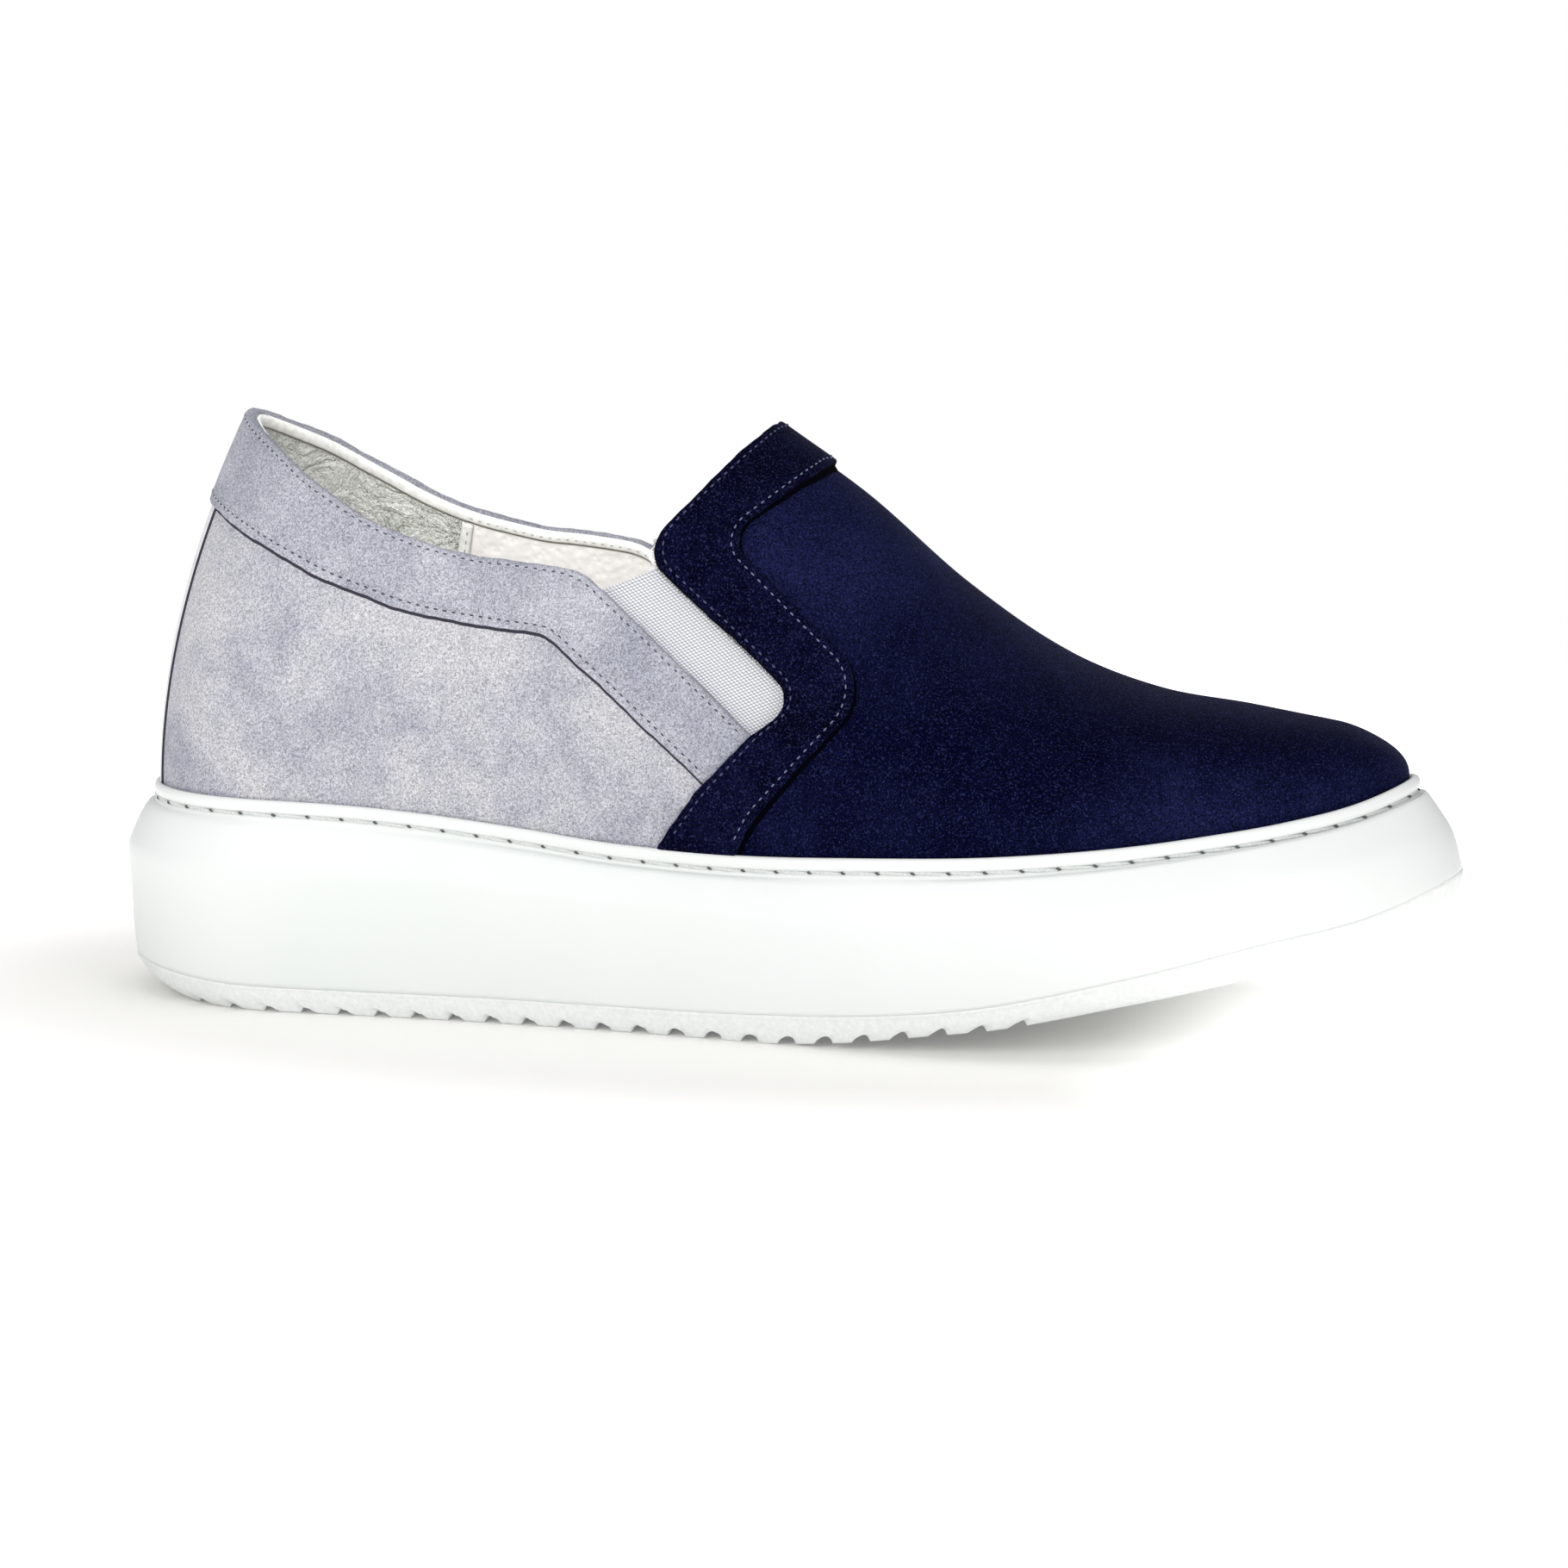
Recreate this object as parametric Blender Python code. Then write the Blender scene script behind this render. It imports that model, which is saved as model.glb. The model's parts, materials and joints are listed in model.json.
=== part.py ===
"""Elevator slip-on shoe, right foot, as an assembly of separate solids.

Metres, +Z up, +X towards the toe, +Y towards the inner (medial) side.
The shoe stands on its outsole at Z = 0. Shapes are worked out from the heel end of the sole,
and each object's location then brings the middle of the shoe's box to the origin.
Shares in the tables run along a contour from its back end (0) to its front end (1).
"""

import math

import bmesh
import bpy
import numpy as np

# Driving sizes of the sole
SOLE_LENGTH = 0.300
BALL_WIDTH = 0.104
SOLE_HEIGHT = 0.0468
HEEL_ROUND = 0.0375
TOE_ROUND = 0.0360

# Driving sizes of the upper
LEDGE_BACK = 0.0077
LEDGE_SIDE = 0.007
LEDGE_FRONT = 0.0120
INSTEP_RISE = 0.0872
COLLAR_RISE = 0.0835
HEEL_LEAN = 0.0218
LEAN_POWER = 1.88
LEAN_REACH = 0.1380
TOE_DROP = 0.0180
CREST_SHIFT = 0.006
UPPER_WALL = 0.0020

# Driving sizes of the cup that holds the upper, and of the footbed
CUP_DEPTH = 0.0120
LIP_WALL = 0.0016
INSOLE_EDGE = 0.0040
HEEL_LIFT = 0.0300
LIFT_REACH = 0.1800

# Driving sizes of the strips and the elastic
STRIP_THICKNESS = 0.0013
GORE_THICKNESS = 0.0012
GORE_LAP = 0.0050

# Driving sizes of the outsole's rolled edge and of its tread
ROLL_BACK = 0.0090
ROLL_SIDE = 0.0036
ROLL_FRONT = 0.0070
TREAD_PITCH = 0.0085
TREAD_GROOVE_WIDTH = 0.0042
TREAD_GROOVE_DEPTH = 0.0018
TREAD_START = 0.0059
TREAD_LENGTH = 0.1990

# Clearances between pieces that meet
GAP = 0.0003

# How finely curves are cut
LENGTH_STEPS = 40
ARCH_STEPS = 11
ARC_STEPS = 5
LINE_STEPS = 14

PLAN = (
    # along, half width / (BALL_WIDTH / 2), sideways bow / BALL_WIDTH
    (0.00, 0.720, 0.000),
    (0.13, 0.722, 0.000),
    (0.25, 0.720, -0.010),
    (0.38, 0.740, -0.034),
    (0.50, 0.828, -0.046),
    (0.62, 0.958, -0.046),
    (0.70, 1.000, -0.029),
    (0.80, 0.935, 0.003),
    (0.90, 0.730, 0.034),
    (1.00, 0.560, 0.048),
)
TREAD_LINE = (
    # along, height / SOLE_HEIGHT
    (0.00, 0.045),
    (0.04, 0.010),
    (0.09, 0.000),
    (0.30, 0.000),
    (0.52, 0.000),
    (0.57, 0.024),
    (0.65, 0.090),
    (0.70, 0.130),
    (0.78, 0.224),
    (0.89, 0.357),
    (0.94, 0.440),
    (1.00, 0.550),
)
SEAM_LINE = (
    # along, height / SOLE_HEIGHT, of the joint between outsole and midsole
    (0.00, 0.180),
    (0.04, 0.158),
    (0.10, 0.128),
    (0.20, 0.119),
    (0.30, 0.122),
    (0.40, 0.122),
    (0.50, 0.133),
    (0.60, 0.173),
    (0.67, 0.224),
    (0.78, 0.370),
    (0.88, 0.522),
    (0.95, 0.620),
    (1.00, 0.745),
)
SHOULDER_LINE = (
    # along, height / SOLE_HEIGHT, where the side wall turns inwards
    (0.00, 0.692),
    (0.13, 0.684),
    (0.20, 0.671),
    (0.30, 0.650),
    (0.40, 0.604),
    (0.50, 0.580),
    (0.60, 0.583),
    (0.70, 0.641),
    (0.78, 0.700),
    (0.88, 0.795),
    (0.95, 0.880),
    (1.00, 0.960),
)
LIP_LINE = (
    # along, height / SOLE_HEIGHT, of the sole's top edge round the upper
    (0.00, 1.000),
    (0.12, 1.002),
    (0.19, 0.991),
    (0.25, 0.968),
    (0.33, 0.923),
    (0.40, 0.880),
    (0.45, 0.866),
    (0.50, 0.861),
    (0.61, 0.889),
    (0.71, 0.917),
    (0.80, 0.958),
    (0.86, 0.998),
    (0.92, 1.050),
    (0.97, 1.112),
    (1.00, 1.175),
)
CREST = (
    # along, crest height over the lip / INSTEP_RISE, fullness of the arch, crest shift / CREST_SHIFT
    (0.000, 1.284, 1.50, 0.0),
    (0.200, 1.250, 2.15, 0.0),
    (0.300, 1.238, 2.30, 0.1),
    (0.400, 1.204, 2.15, 0.3),
    (0.450, 1.124, 2.05, 0.4),
    (0.507, 1.000, 1.98, 0.5),
    (0.570, 0.850, 1.96, 0.7),
    (0.650, 0.611, 2.00, 0.9),
    (0.730, 0.418, 2.07, 1.0),
    (0.800, 0.314, 2.15, 0.8),
    (0.870, 0.253, 2.20, 0.6),
    (0.930, 0.194, 2.20, 0.3),
    (1.000, 0.120, 2.20, 0.0),
)
SOLE_WALL = (
    # lower line, upper line, share between them, insets / LEDGE_BACK, LEDGE_SIDE, LEDGE_FRONT
    ("seam", "shoulder", 0.00, 0.23, 0.20, 0.02),
    ("seam", "shoulder", 0.12, 0.16, 0.11, 0.03),
    ("seam", "shoulder", 0.55, 0.08, 0.04, 0.12),
    ("seam", "shoulder", 0.92, 0.00, 0.00, 0.25),
    ("shoulder", "lip", 0.12, 0.06, 0.09, 0.36),
    ("shoulder", "lip", 0.45, 0.32, 0.35, 0.55),
    ("shoulder", "lip", 0.70, 0.60, 0.62, 0.70),
    ("shoulder", "lip", 0.78, 0.84, 0.82, 0.90),
    ("shoulder", "lip", 0.86, 0.74, 0.71, 0.82),
)
OUTSOLE_WALL = (
    # share of the height from tread to seam, insets / ROLL_BACK, ROLL_SIDE, ROLL_FRONT
    (0.00, 1.00, 1.00, 1.00),
    (0.22, 0.64, 0.72, 0.49),
    (0.60, 0.33, 0.47, 0.09),
    (1.00, 0.18, 0.33, 0.00),
)
COLLAR_RIM = (
    # along, height over the lip / COLLAR_RISE
    (0.000, 0.990),
    (0.026, 0.948),
    (0.059, 0.900),
    (0.097, 0.840),
    (0.129, 0.796),
    (0.160, 0.755),
    (0.188, 0.726),
    (0.214, 0.707),
    (0.245, 0.693),
    (0.279, 0.684),
    (0.313, 0.688),
    (0.345, 0.689),
)
BAND_FOOT = (
    # along, height over the lip / COLLAR_RISE
    (0.000, 0.752),
    (0.047, 0.698),
    (0.082, 0.657),
    (0.112, 0.622),
    (0.143, 0.585),
    (0.178, 0.554),
    (0.214, 0.527),
    (0.249, 0.514),
    (0.284, 0.511),
    (0.325, 0.512),
)
# Corners of the panel edges: along, height over the lip / COLLAR_RISE, radius / COLLAR_RISE
GORE_FOOT = (0.516, 0.303, 0.0)
RIM_CORNERS = (
    (0.371, 0.688, 0.180),
    GORE_FOOT,
)
BAND_FOOT_CORNERS = (
    (0.345, 0.512, 0.096),
    (0.508, 0.095, 0.0),
)
THROAT_CORNERS = (
    GORE_FOOT,
    (0.555, 0.395, 0.066),
    (0.421, 0.752, 0.084),
    (0.551, 1.235, 0.0),
)
STRIP_REAR_CORNERS = (
    (0.427, -0.063, 0.0),
    (0.4756, 0.167, 0.360),
    GORE_FOOT,
)
STRIP_FRONT_CORNERS = (
    (0.657, 1.207, 0.0),
    (0.485, 0.796, 0.067),
    (0.6115, 0.418, 0.114),
    (0.522, 0.100, 0.240),
    (0.497, -0.060, 0.0),
)
# Share along by which the strip's foot line runs past its edges, so that both cross it
FOOT_RUN_ON = 0.035
GORE_TOP = (
    # along, height over the lip / COLLAR_RISE
    (0.392, 0.655),
    (0.436, 0.722),
)
COLOURS = {
    # base colour, roughness
    "outsole": ((0.80, 0.80, 0.78, 1.0), 0.60),
    "midsole": ((0.90, 0.90, 0.89, 1.0), 0.35),
    "insole": ((0.78, 0.76, 0.72, 1.0), 0.55),
    "upper": ((0.50, 0.51, 0.55, 1.0), 0.90),
    "collar_band": ((0.43, 0.44, 0.50, 1.0), 0.90),
    "vamp_strip": ((0.008, 0.009, 0.035, 1.0), 0.90),
    "gore_lateral": ((0.72, 0.73, 0.76, 1.0), 0.70),
    "gore_medial": ((0.72, 0.73, 0.76, 1.0), 0.70),
}
LATERAL, MEDIAL = -1, 1


def smooth(table, column, at):
    """A cubic curve through one column of a table, read at the given shares."""
    x = np.array([row[0] for row in table], float)
    v = np.array([row[column] for row in table], float)
    step = np.diff(x)
    slope = np.diff(v) / step
    tangent = np.empty_like(v)
    tangent[1:-1] = (step[1:] * slope[:-1] + step[:-1] * slope[1:]) / (step[1:] + step[:-1])
    tangent[0] = 1.5 * slope[0] - 0.5 * tangent[1]
    tangent[-1] = 1.5 * slope[-1] - 0.5 * tangent[-2]
    at = np.clip(np.asarray(at, float), x[0], x[-1])
    k = np.clip(np.searchsorted(x, at, side="right") - 1, 0, len(step) - 1)
    s = (at - x[k]) / step[k]
    return (
        v[k] * (1 + 2 * s) * (1 - s) ** 2
        + tangent[k] * step[k] * s * (1 - s) ** 2
        + v[k + 1] * s * s * (3 - 2 * s)
        + tangent[k + 1] * step[k] * s * s * (s - 1)
    )


def round_end(u, reach):
    """A quarter ellipse that opens from 0 at the end to 1 at the reach."""
    inside = np.clip(1 - u / reach, 0, 1)
    return np.sqrt(np.clip(1 - inside**2, 0, 1))


def half_width(u):
    """Half the sole's width at a share of its length."""
    ends = round_end(u, HEEL_ROUND / SOLE_LENGTH) * round_end(1 - u, TOE_ROUND / SOLE_LENGTH)
    return smooth(PLAN, 1, u) * ends * BALL_WIDTH / 2


def bow(u):
    """How far the middle of the plan lies towards the medial side."""
    return smooth(PLAN, 2, u) * BALL_WIDTH


LINES = {"tread": TREAD_LINE, "seam": SEAM_LINE, "shoulder": SHOULDER_LINE, "lip": LIP_LINE}


def height(line, u):
    """Height of one of the sole's lines over the floor."""
    return smooth(LINES[line], 1, u) * SOLE_HEIGHT


def end_spaced(steps):
    """Shares from 0 to 1, closer together at both ends."""
    return (1 - np.cos(np.linspace(0, math.pi, steps + 1))) / 2


def contour(u, back, side, front, z):
    """The sole's plan drawn in by these insets: lateral points and medial points, heel to toe."""
    x = back + u * (SOLE_LENGTH - back - front)
    half = half_width(u) * (BALL_WIDTH / 2 - side) / (BALL_WIDTH / 2)
    middle = bow(u)
    z = np.broadcast_to(z, x.shape)
    return (
        np.stack([x, middle - half, z], axis=1),
        np.stack([x, middle + half, z], axis=1),
    )


def upper_surface(u, arch, side):
    """A point of the upper's outer form. arch runs from 0 at the lip to 1 at the crest."""
    u, arch = np.broadcast_arrays(np.asarray(u, float), np.asarray(arch, float))
    half = half_width(u) * (BALL_WIDTH / 2 - LEDGE_SIDE) / (BALL_WIDTH / 2)
    shift = smooth(CREST, 3, u) * CREST_SHIFT * np.clip(half / LEDGE_SIDE / 3, 0, 1)
    power = 2 / smooth(CREST, 2, u)
    turn = arch * math.pi / 2
    rise = crest_rise(u) * np.sin(turn) ** power
    reach = (half - side * shift) * np.clip(np.cos(turn), 0, 1) ** power
    x = LEDGE_BACK + u * (SOLE_LENGTH - LEDGE_BACK - LEDGE_FRONT) + lean(u, rise)
    return np.stack([x, bow(u) + shift + side * reach, height("lip", u) + rise], axis=-1)


def crest_rise(u):
    """Height of the crest over the lip. Behind the throat the opening cuts it away."""
    return smooth(CREST, 1, u) * INSTEP_RISE * round_end(1 - u, TOE_DROP / SOLE_LENGTH)


def lean(u, rise):
    """How far the back of the shoe leans forward at a height over the lip."""
    fade = np.clip(u * SOLE_LENGTH / LEAN_REACH, 0, 1)
    fade = 1 - fade * fade * (3 - 2 * fade)
    return HEEL_LEAN * np.clip(rise / COLLAR_RISE, 0, None) ** LEAN_POWER * fade


def side_view(u, up):
    """(x, z) of a point of the upper, from its share along and its height over the lip / COLLAR_RISE."""
    rise = np.asarray(up, float) * COLLAR_RISE
    u = np.asarray(u, float)
    x = LEDGE_BACK + u * (SOLE_LENGTH - LEDGE_BACK - LEDGE_FRONT) + lean(u, rise)
    return np.stack([x, height("lip", u) + rise], axis=-1)


def along_table(table):
    """Side view points of a line whose height is a smooth function of its share along."""
    u = np.linspace(table[0][0], table[-1][0], LINE_STEPS)
    return [tuple(p) for p in side_view(u, smooth(table, 1, u))]


def rounded(corners):
    """Side view points of a line of straight runs with its corners rounded to their radii."""
    points = [side_view(u, up) for u, up, _ in corners]
    made = [tuple(points[0])]
    for before, corner, after, row in zip(points, points[1:], points[2:], corners[1:]):
        made += arc(before, corner, after, row[2] * COLLAR_RISE)
    return made + [tuple(points[-1])]


def curve_then_corners(table, corners):
    """A smooth line that goes on as straight runs with rounded corners."""
    return along_table(table) + rounded((table[-1] + (0.0,),) + corners)[1:]


def arc(before, corner, after, radius):
    """Points of the arc that rounds a corner."""
    to_before = (before - corner) / np.linalg.norm(before - corner)
    to_after = (after - corner) / np.linalg.norm(after - corner)
    half_angle = math.acos(float(np.clip(to_before @ to_after, -1, 1))) / 2
    bisector = (to_before + to_after) / np.linalg.norm(to_before + to_after)
    centre = corner + bisector * radius / math.sin(half_angle)
    start = corner + to_before * radius / math.tan(half_angle) - centre
    end = corner + to_after * radius / math.tan(half_angle) - centre
    sweep = math.atan2(start[0] * end[1] - start[1] * end[0], float(start @ end))
    made = []
    for share in np.linspace(0, 1, ARC_STEPS + 1):
        c, s = math.cos(sweep * share), math.sin(sweep * share)
        made.append(tuple(centre + np.array([start[0] * c - start[1] * s, start[0] * s + start[1] * c])))
    return made


def new_object(name, mesh):
    made = bpy.data.objects.new(name, mesh)
    bpy.context.scene.collection.objects.link(made)
    made.location = MIDDLE
    return made


def mesh_of(name, points, faces):
    """A mesh with doubled points merged and its faces turned outwards."""
    mesh = bpy.data.meshes.new(name)
    mesh.from_pydata([tuple(p) for p in points], [], faces)
    work = bmesh.new()
    work.from_mesh(mesh)
    bmesh.ops.remove_doubles(work, verts=work.verts, dist=1e-6)
    bmesh.ops.dissolve_degenerate(work, edges=work.edges, dist=1e-7)
    bmesh.ops.recalc_face_normals(work, faces=work.faces)
    work.to_mesh(mesh)
    work.free()
    return mesh


def finish(made):
    """Gives a piece its material and soft shading."""
    colour, roughness = COLOURS[made.name]
    material = bpy.data.materials.new(made.name)
    material.use_nodes = True
    shader = material.node_tree.nodes["Principled BSDF"]
    shader.inputs["Base Color"].default_value = colour
    shader.inputs["Roughness"].default_value = roughness
    shader.inputs["Metallic"].default_value = 0.0
    made.data.materials.append(material)
    made.data.shade_smooth()
    made.data.set_sharp_from_angle(angle=math.radians(35))
    return made


def as_cutter(made):
    made.hide_render = True
    made.display_type = "WIRE"
    return made


def boolean(made, operation, other):
    modifier = made.modifiers.new(operation.lower(), "BOOLEAN")
    modifier.operation = operation
    modifier.object = other
    modifier.solver = "EXACT"


def loft(rings):
    """A closed mesh through rings of (lateral, medial) points, capped by ladders at both ends."""
    steps = len(rings[0][0])
    points = np.concatenate([side for ring in rings for side in ring])
    faces = []
    for r in range(len(rings) - 1):
        for i in range(steps - 1):
            for side in range(2):
                a = (2 * r + side) * steps + i
                b = a + 2 * steps
                faces.append((a, a + 1, b + 1, b) if side else (a, b, b + 1, a + 1))
    for r in (0, len(rings) - 1):
        lateral, medial = 2 * r * steps, (2 * r + 1) * steps
        for i in range(steps - 1):
            faces.append((lateral + i, lateral + i + 1, medial + i + 1, medial + i))
    return points, faces


def form_points(offset, drop):
    """Grid of the upper's form, heel to toe, moved outwards by offset, with a skirt hanging below the lip."""
    u = end_spaced(LENGTH_STEPS)[:, None]
    arch = np.linspace(0, 1, ARCH_STEPS + 1)[None, :]
    lateral = upper_surface(u, arch, LATERAL)
    medial = upper_surface(u, arch, MEDIAL)[:, ::-1][:, 1:]
    grid = np.concatenate([lateral, medial], axis=1)
    skirt = np.zeros((len(u), 1, 3))
    skirt[:, 0, 2] = -drop
    lower = [grid[:, :1] + skirt, grid[:, :1] + skirt / 2]
    upper_end = [grid[:, -1:] + skirt / 2, grid[:, -1:] + skirt]
    grid = np.concatenate(lower + [grid] + upper_end, axis=1)
    return offset_grid(grid, offset)


def offset_grid(grid, offset):
    """The grid moved along its own normals; the skirt moves level."""
    rows, columns = grid.shape[:2]
    diagonals = np.cross(grid[1:, 1:] - grid[:-1, :-1], grid[:-1, 1:] - grid[1:, :-1])
    summed = np.zeros_like(grid)
    for row, column in ((0, 0), (1, 0), (0, 1), (1, 1)):
        summed[row : rows - 1 + row, column : columns - 1 + column] += diagonals
    _, group = np.unique(np.round(grid.reshape(-1, 3) * 1e6), axis=0, return_inverse=True)
    group = group.reshape(-1)
    shared = np.zeros((group.max() + 1, 3))
    np.add.at(shared, group, summed.reshape(-1, 3))
    normal = shared[group].reshape(grid.shape)
    normal[:, [0, 1, 2, -3, -2, -1], 2] = 0
    normal[-1, :, 2] = 0
    normal /= np.linalg.norm(normal, axis=2, keepdims=True)
    return grid + normal * offset


def form(name, offset, drop):
    """The closed form of the upper at an offset from its outer face."""
    grid = form_points(offset, drop)
    rows, columns = grid.shape[:2]
    faces = [
        (r * columns + c, r * columns + (c + 1) % columns, (r + 1) * columns + (c + 1) % columns, (r + 1) * columns + c)
        for r in range(rows - 1)
        for c in range(columns)
    ]
    return new_object(name, mesh_of(name, grid.reshape(-1, 3), faces))


def prism(name, outline, low, high):
    """A side view outline drawn out across the shoe from low to high."""
    x, z = np.array(outline).T
    turning = (x * np.roll(z, -1) - np.roll(x, -1) * z).sum()
    outline = outline if turning > 0 else outline[::-1]
    count = len(outline)
    points = [(x, low, z) for x, z in outline] + [(x, high, z) for x, z in outline]
    faces = [tuple(range(count)), tuple(range(2 * count - 1, count - 1, -1))]
    faces += [(i, count + i, count + (i + 1) % count, (i + 1) % count) for i in range(count)]
    mesh = bpy.data.meshes.new(name)
    mesh.from_pydata(points, [], faces)
    return as_cutter(new_object(name, mesh))


def beyond_back(points):
    """A line that starts at the back of the heel, carried straight on behind the shoe."""
    (x0, z0), (x1, z1) = points[0], points[1]
    slope = (z1 - z0) / (x1 - x0)
    return [(x0 - OUTSIDE, z0 - slope * OUTSIDE)] + points


def line_end(points, other):
    """Points of a line up to where it meets another line."""
    made = [points[0]]
    for p, q in zip(points, points[1:]):
        for a, b in zip(other, other[1:]):
            hit = crossing(p, q, a, b)
            if hit is not None:
                return made + [hit]
        made.append(q)
    return made


def crossing(p, q, a, b):
    """Where two straight runs cross, or None."""
    p, q, a, b = (np.array(v, float) for v in (p, q, a, b))
    d, e = q - p, b - a
    area = d[0] * e[1] - d[1] * e[0]
    if abs(area) < 1e-15:
        return None
    s = ((a - p)[0] * e[1] - (a - p)[1] * e[0]) / area
    t = ((a - p)[0] * d[1] - (a - p)[1] * d[0]) / area
    if 0 <= s <= 1 and 0 <= t <= 1:
        return tuple(p + d * s)
    return None


def moved(points, dx, dz):
    return [(x + dx, z + dz) for x, z in points]


def lip_points(first, last, lift):
    """The lip's line in the side view between two shares."""
    u = np.linspace(first, last, LINE_STEPS // 2)
    return [tuple(p) for p in side_view(u, 0) + np.array([0.0, lift])]


def shell(name, outer_offset, inner_offset, operation, outline):
    """The skin between two offsets of the upper's form, open underneath, kept in or out of an outline."""
    made = form(name, outer_offset, CUP_DEPTH - GAP)
    boolean(made, operation, outline)
    inner = as_cutter(form(name + "_inside", inner_offset, CUP_DEPTH + INSOLE_EDGE))
    boolean(made, "DIFFERENCE", inner)
    return made


def opening_outline():
    """Everything above the collar, with the notch for the elastic and the throat."""
    rim = beyond_back(curve_then_corners(COLLAR_RIM, RIM_CORNERS))
    throat = rounded(THROAT_CORNERS)[1:]
    return [(rim[0][0], ABOVE)] + rim + throat + [(throat[-1][0], ABOVE)]


def build_upper():
    opening = prism("opening_outline", opening_outline(), -OUTSIDE, OUTSIDE)
    return finish(shell("upper", 0.0, -UPPER_WALL, "DIFFERENCE", opening))


def build_collar_band():
    """The strip round the collar, from one strip of the vamp to the other."""
    rear = moved(rounded(STRIP_REAR_CORNERS), -GAP * 2, 0)
    foot = line_end(curve_then_corners(BAND_FOOT, BAND_FOOT_CORNERS), rear)
    rim = line_end(curve_then_corners(COLLAR_RIM, RIM_CORNERS), rear)
    between = [p for p in rear if foot[-1][0] < p[0] < rim[-1][0]]
    outline = beyond_back(foot) + between + beyond_back(rim)[::-1]
    outline = prism("collar_band_outline", outline, -OUTSIDE, OUTSIDE)
    return finish(shell("collar_band", GAP + STRIP_THICKNESS, GAP, "INTERSECT", outline))


def build_vamp_strip():
    """The strip that runs up from the sole, round the elastic and over the throat."""
    rear = rounded(STRIP_REAR_CORNERS) + rounded(THROAT_CORNERS)[1:]
    front = rounded(STRIP_FRONT_CORNERS)
    first, last = STRIP_REAR_CORNERS[0][0], STRIP_FRONT_CORNERS[-1][0]
    floor = lip_points(first - FOOT_RUN_ON, last + FOOT_RUN_ON, GAP)
    rear = line_end(rear[::-1], floor)[::-1]
    front = line_end(front, floor)
    base = [p for p in floor if rear[0][0] < p[0] < front[-1][0]]
    outline = prism("vamp_strip_outline", rear + front + base[::-1], -OUTSIDE, OUTSIDE)
    return finish(shell("vamp_strip", GAP + STRIP_THICKNESS, GAP, "INTERSECT", outline))


def build_gore(name, side):
    """One elastic panel, lapped behind the edges of its notch."""
    foot, corner = (tuple(side_view(*row[:2])) for row in THROAT_CORNERS[:2])
    top_rear, top_front = (tuple(side_view(*row)) for row in GORE_TOP)
    outline = moved([foot, top_rear], -GORE_LAP, -GORE_LAP / 2)
    outline += [top_rear, top_front]
    outline += moved([top_front, corner], GORE_LAP, 0)
    skin = -UPPER_WALL - GAP
    outline = prism(name + "_outline", outline, *sorted((0.0, side * OUTSIDE)))
    return finish(shell(name, skin, skin - GORE_THICKNESS, "INTERSECT", outline))


def sole_ring(u, row, lift=0.0):
    """A ring of the sole's side wall between two of its lines."""
    lower, upper, share, back, side, front = row
    z = height(lower, u) * (1 - share) + height(upper, u) * share
    return contour(u, back * LEDGE_BACK, side * LEDGE_SIDE, front * LEDGE_FRONT, z + lift)


def build_midsole():
    """The cup: outer wall, stitched lip, and the inner wall and floor that hold the upper."""
    u = end_spaced(LENGTH_STEPS)
    lip = height("lip", u)
    ledge = (LEDGE_BACK, LEDGE_SIDE, LEDGE_FRONT)
    outer = [edge - LIP_WALL - GAP for edge in ledge]
    inner = [edge - GAP for edge in ledge]
    rings = [sole_ring(u, SOLE_WALL[0], GAP)]
    rings += [sole_ring(u, row) for row in SOLE_WALL[1:]]
    rings.append(contour(u, *outer, lip - LIP_WALL / 3))
    rings.append(contour(u, *[edge + LIP_WALL / 3 for edge in outer], lip))
    rings.append(contour(u, *inner, lip))
    rings.append(contour(u, *inner, lip - CUP_DEPTH))
    return finish(new_object("midsole", mesh_of("midsole", *loft(rings))))


def tread_shares():
    """Shares along the outsole: the even ones, and the corners of every tread groove."""
    even = end_spaced(LENGTH_STEPS)
    corners = []
    reach = SOLE_LENGTH - ROLL_BACK - ROLL_FRONT
    starts = (TREAD_START + np.arange(0, TREAD_LENGTH, TREAD_PITCH)) / reach
    width = TREAD_GROOVE_WIDTH / reach
    for start in starts:
        corners += list(start + width * GROOVE_PROFILE[:, 0])
    even = [u for u in even if np.abs(np.array(corners) - u).min() > width / 3]
    return np.array(sorted(even + corners)), starts, width


GROOVE_PROFILE = np.array([(0.0, 0.0), (0.18, 0.75), (0.5, 1.0), (0.82, 0.75), (1.0, 0.0)])


def groove_depth(u, starts, width):
    """Depth of the tread groove at each share, 0 on the lands."""
    depth = np.zeros_like(u)
    for start in starts:
        depth += np.interp((u - start) / width, *GROOVE_PROFILE.T, left=0, right=0)
    return depth * TREAD_GROOVE_DEPTH


def build_outsole():
    """The tread sheet, with its transverse grooves cut through to both side edges."""
    u, starts, width = tread_shares()
    groove = groove_depth(u, starts, width)
    tread, seam = np.clip(height("tread", u), 0, None), height("seam", u)
    rings = []
    for share, back, side, front in OUTSOLE_WALL:
        z = tread + (seam - tread) * share
        insets = back * ROLL_BACK, side * ROLL_SIDE, front * ROLL_FRONT
        rings.append(contour(u, *insets, np.maximum(z, tread + groove)))
    return finish(new_object("outsole", mesh_of("outsole", *loft(rings))))


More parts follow.
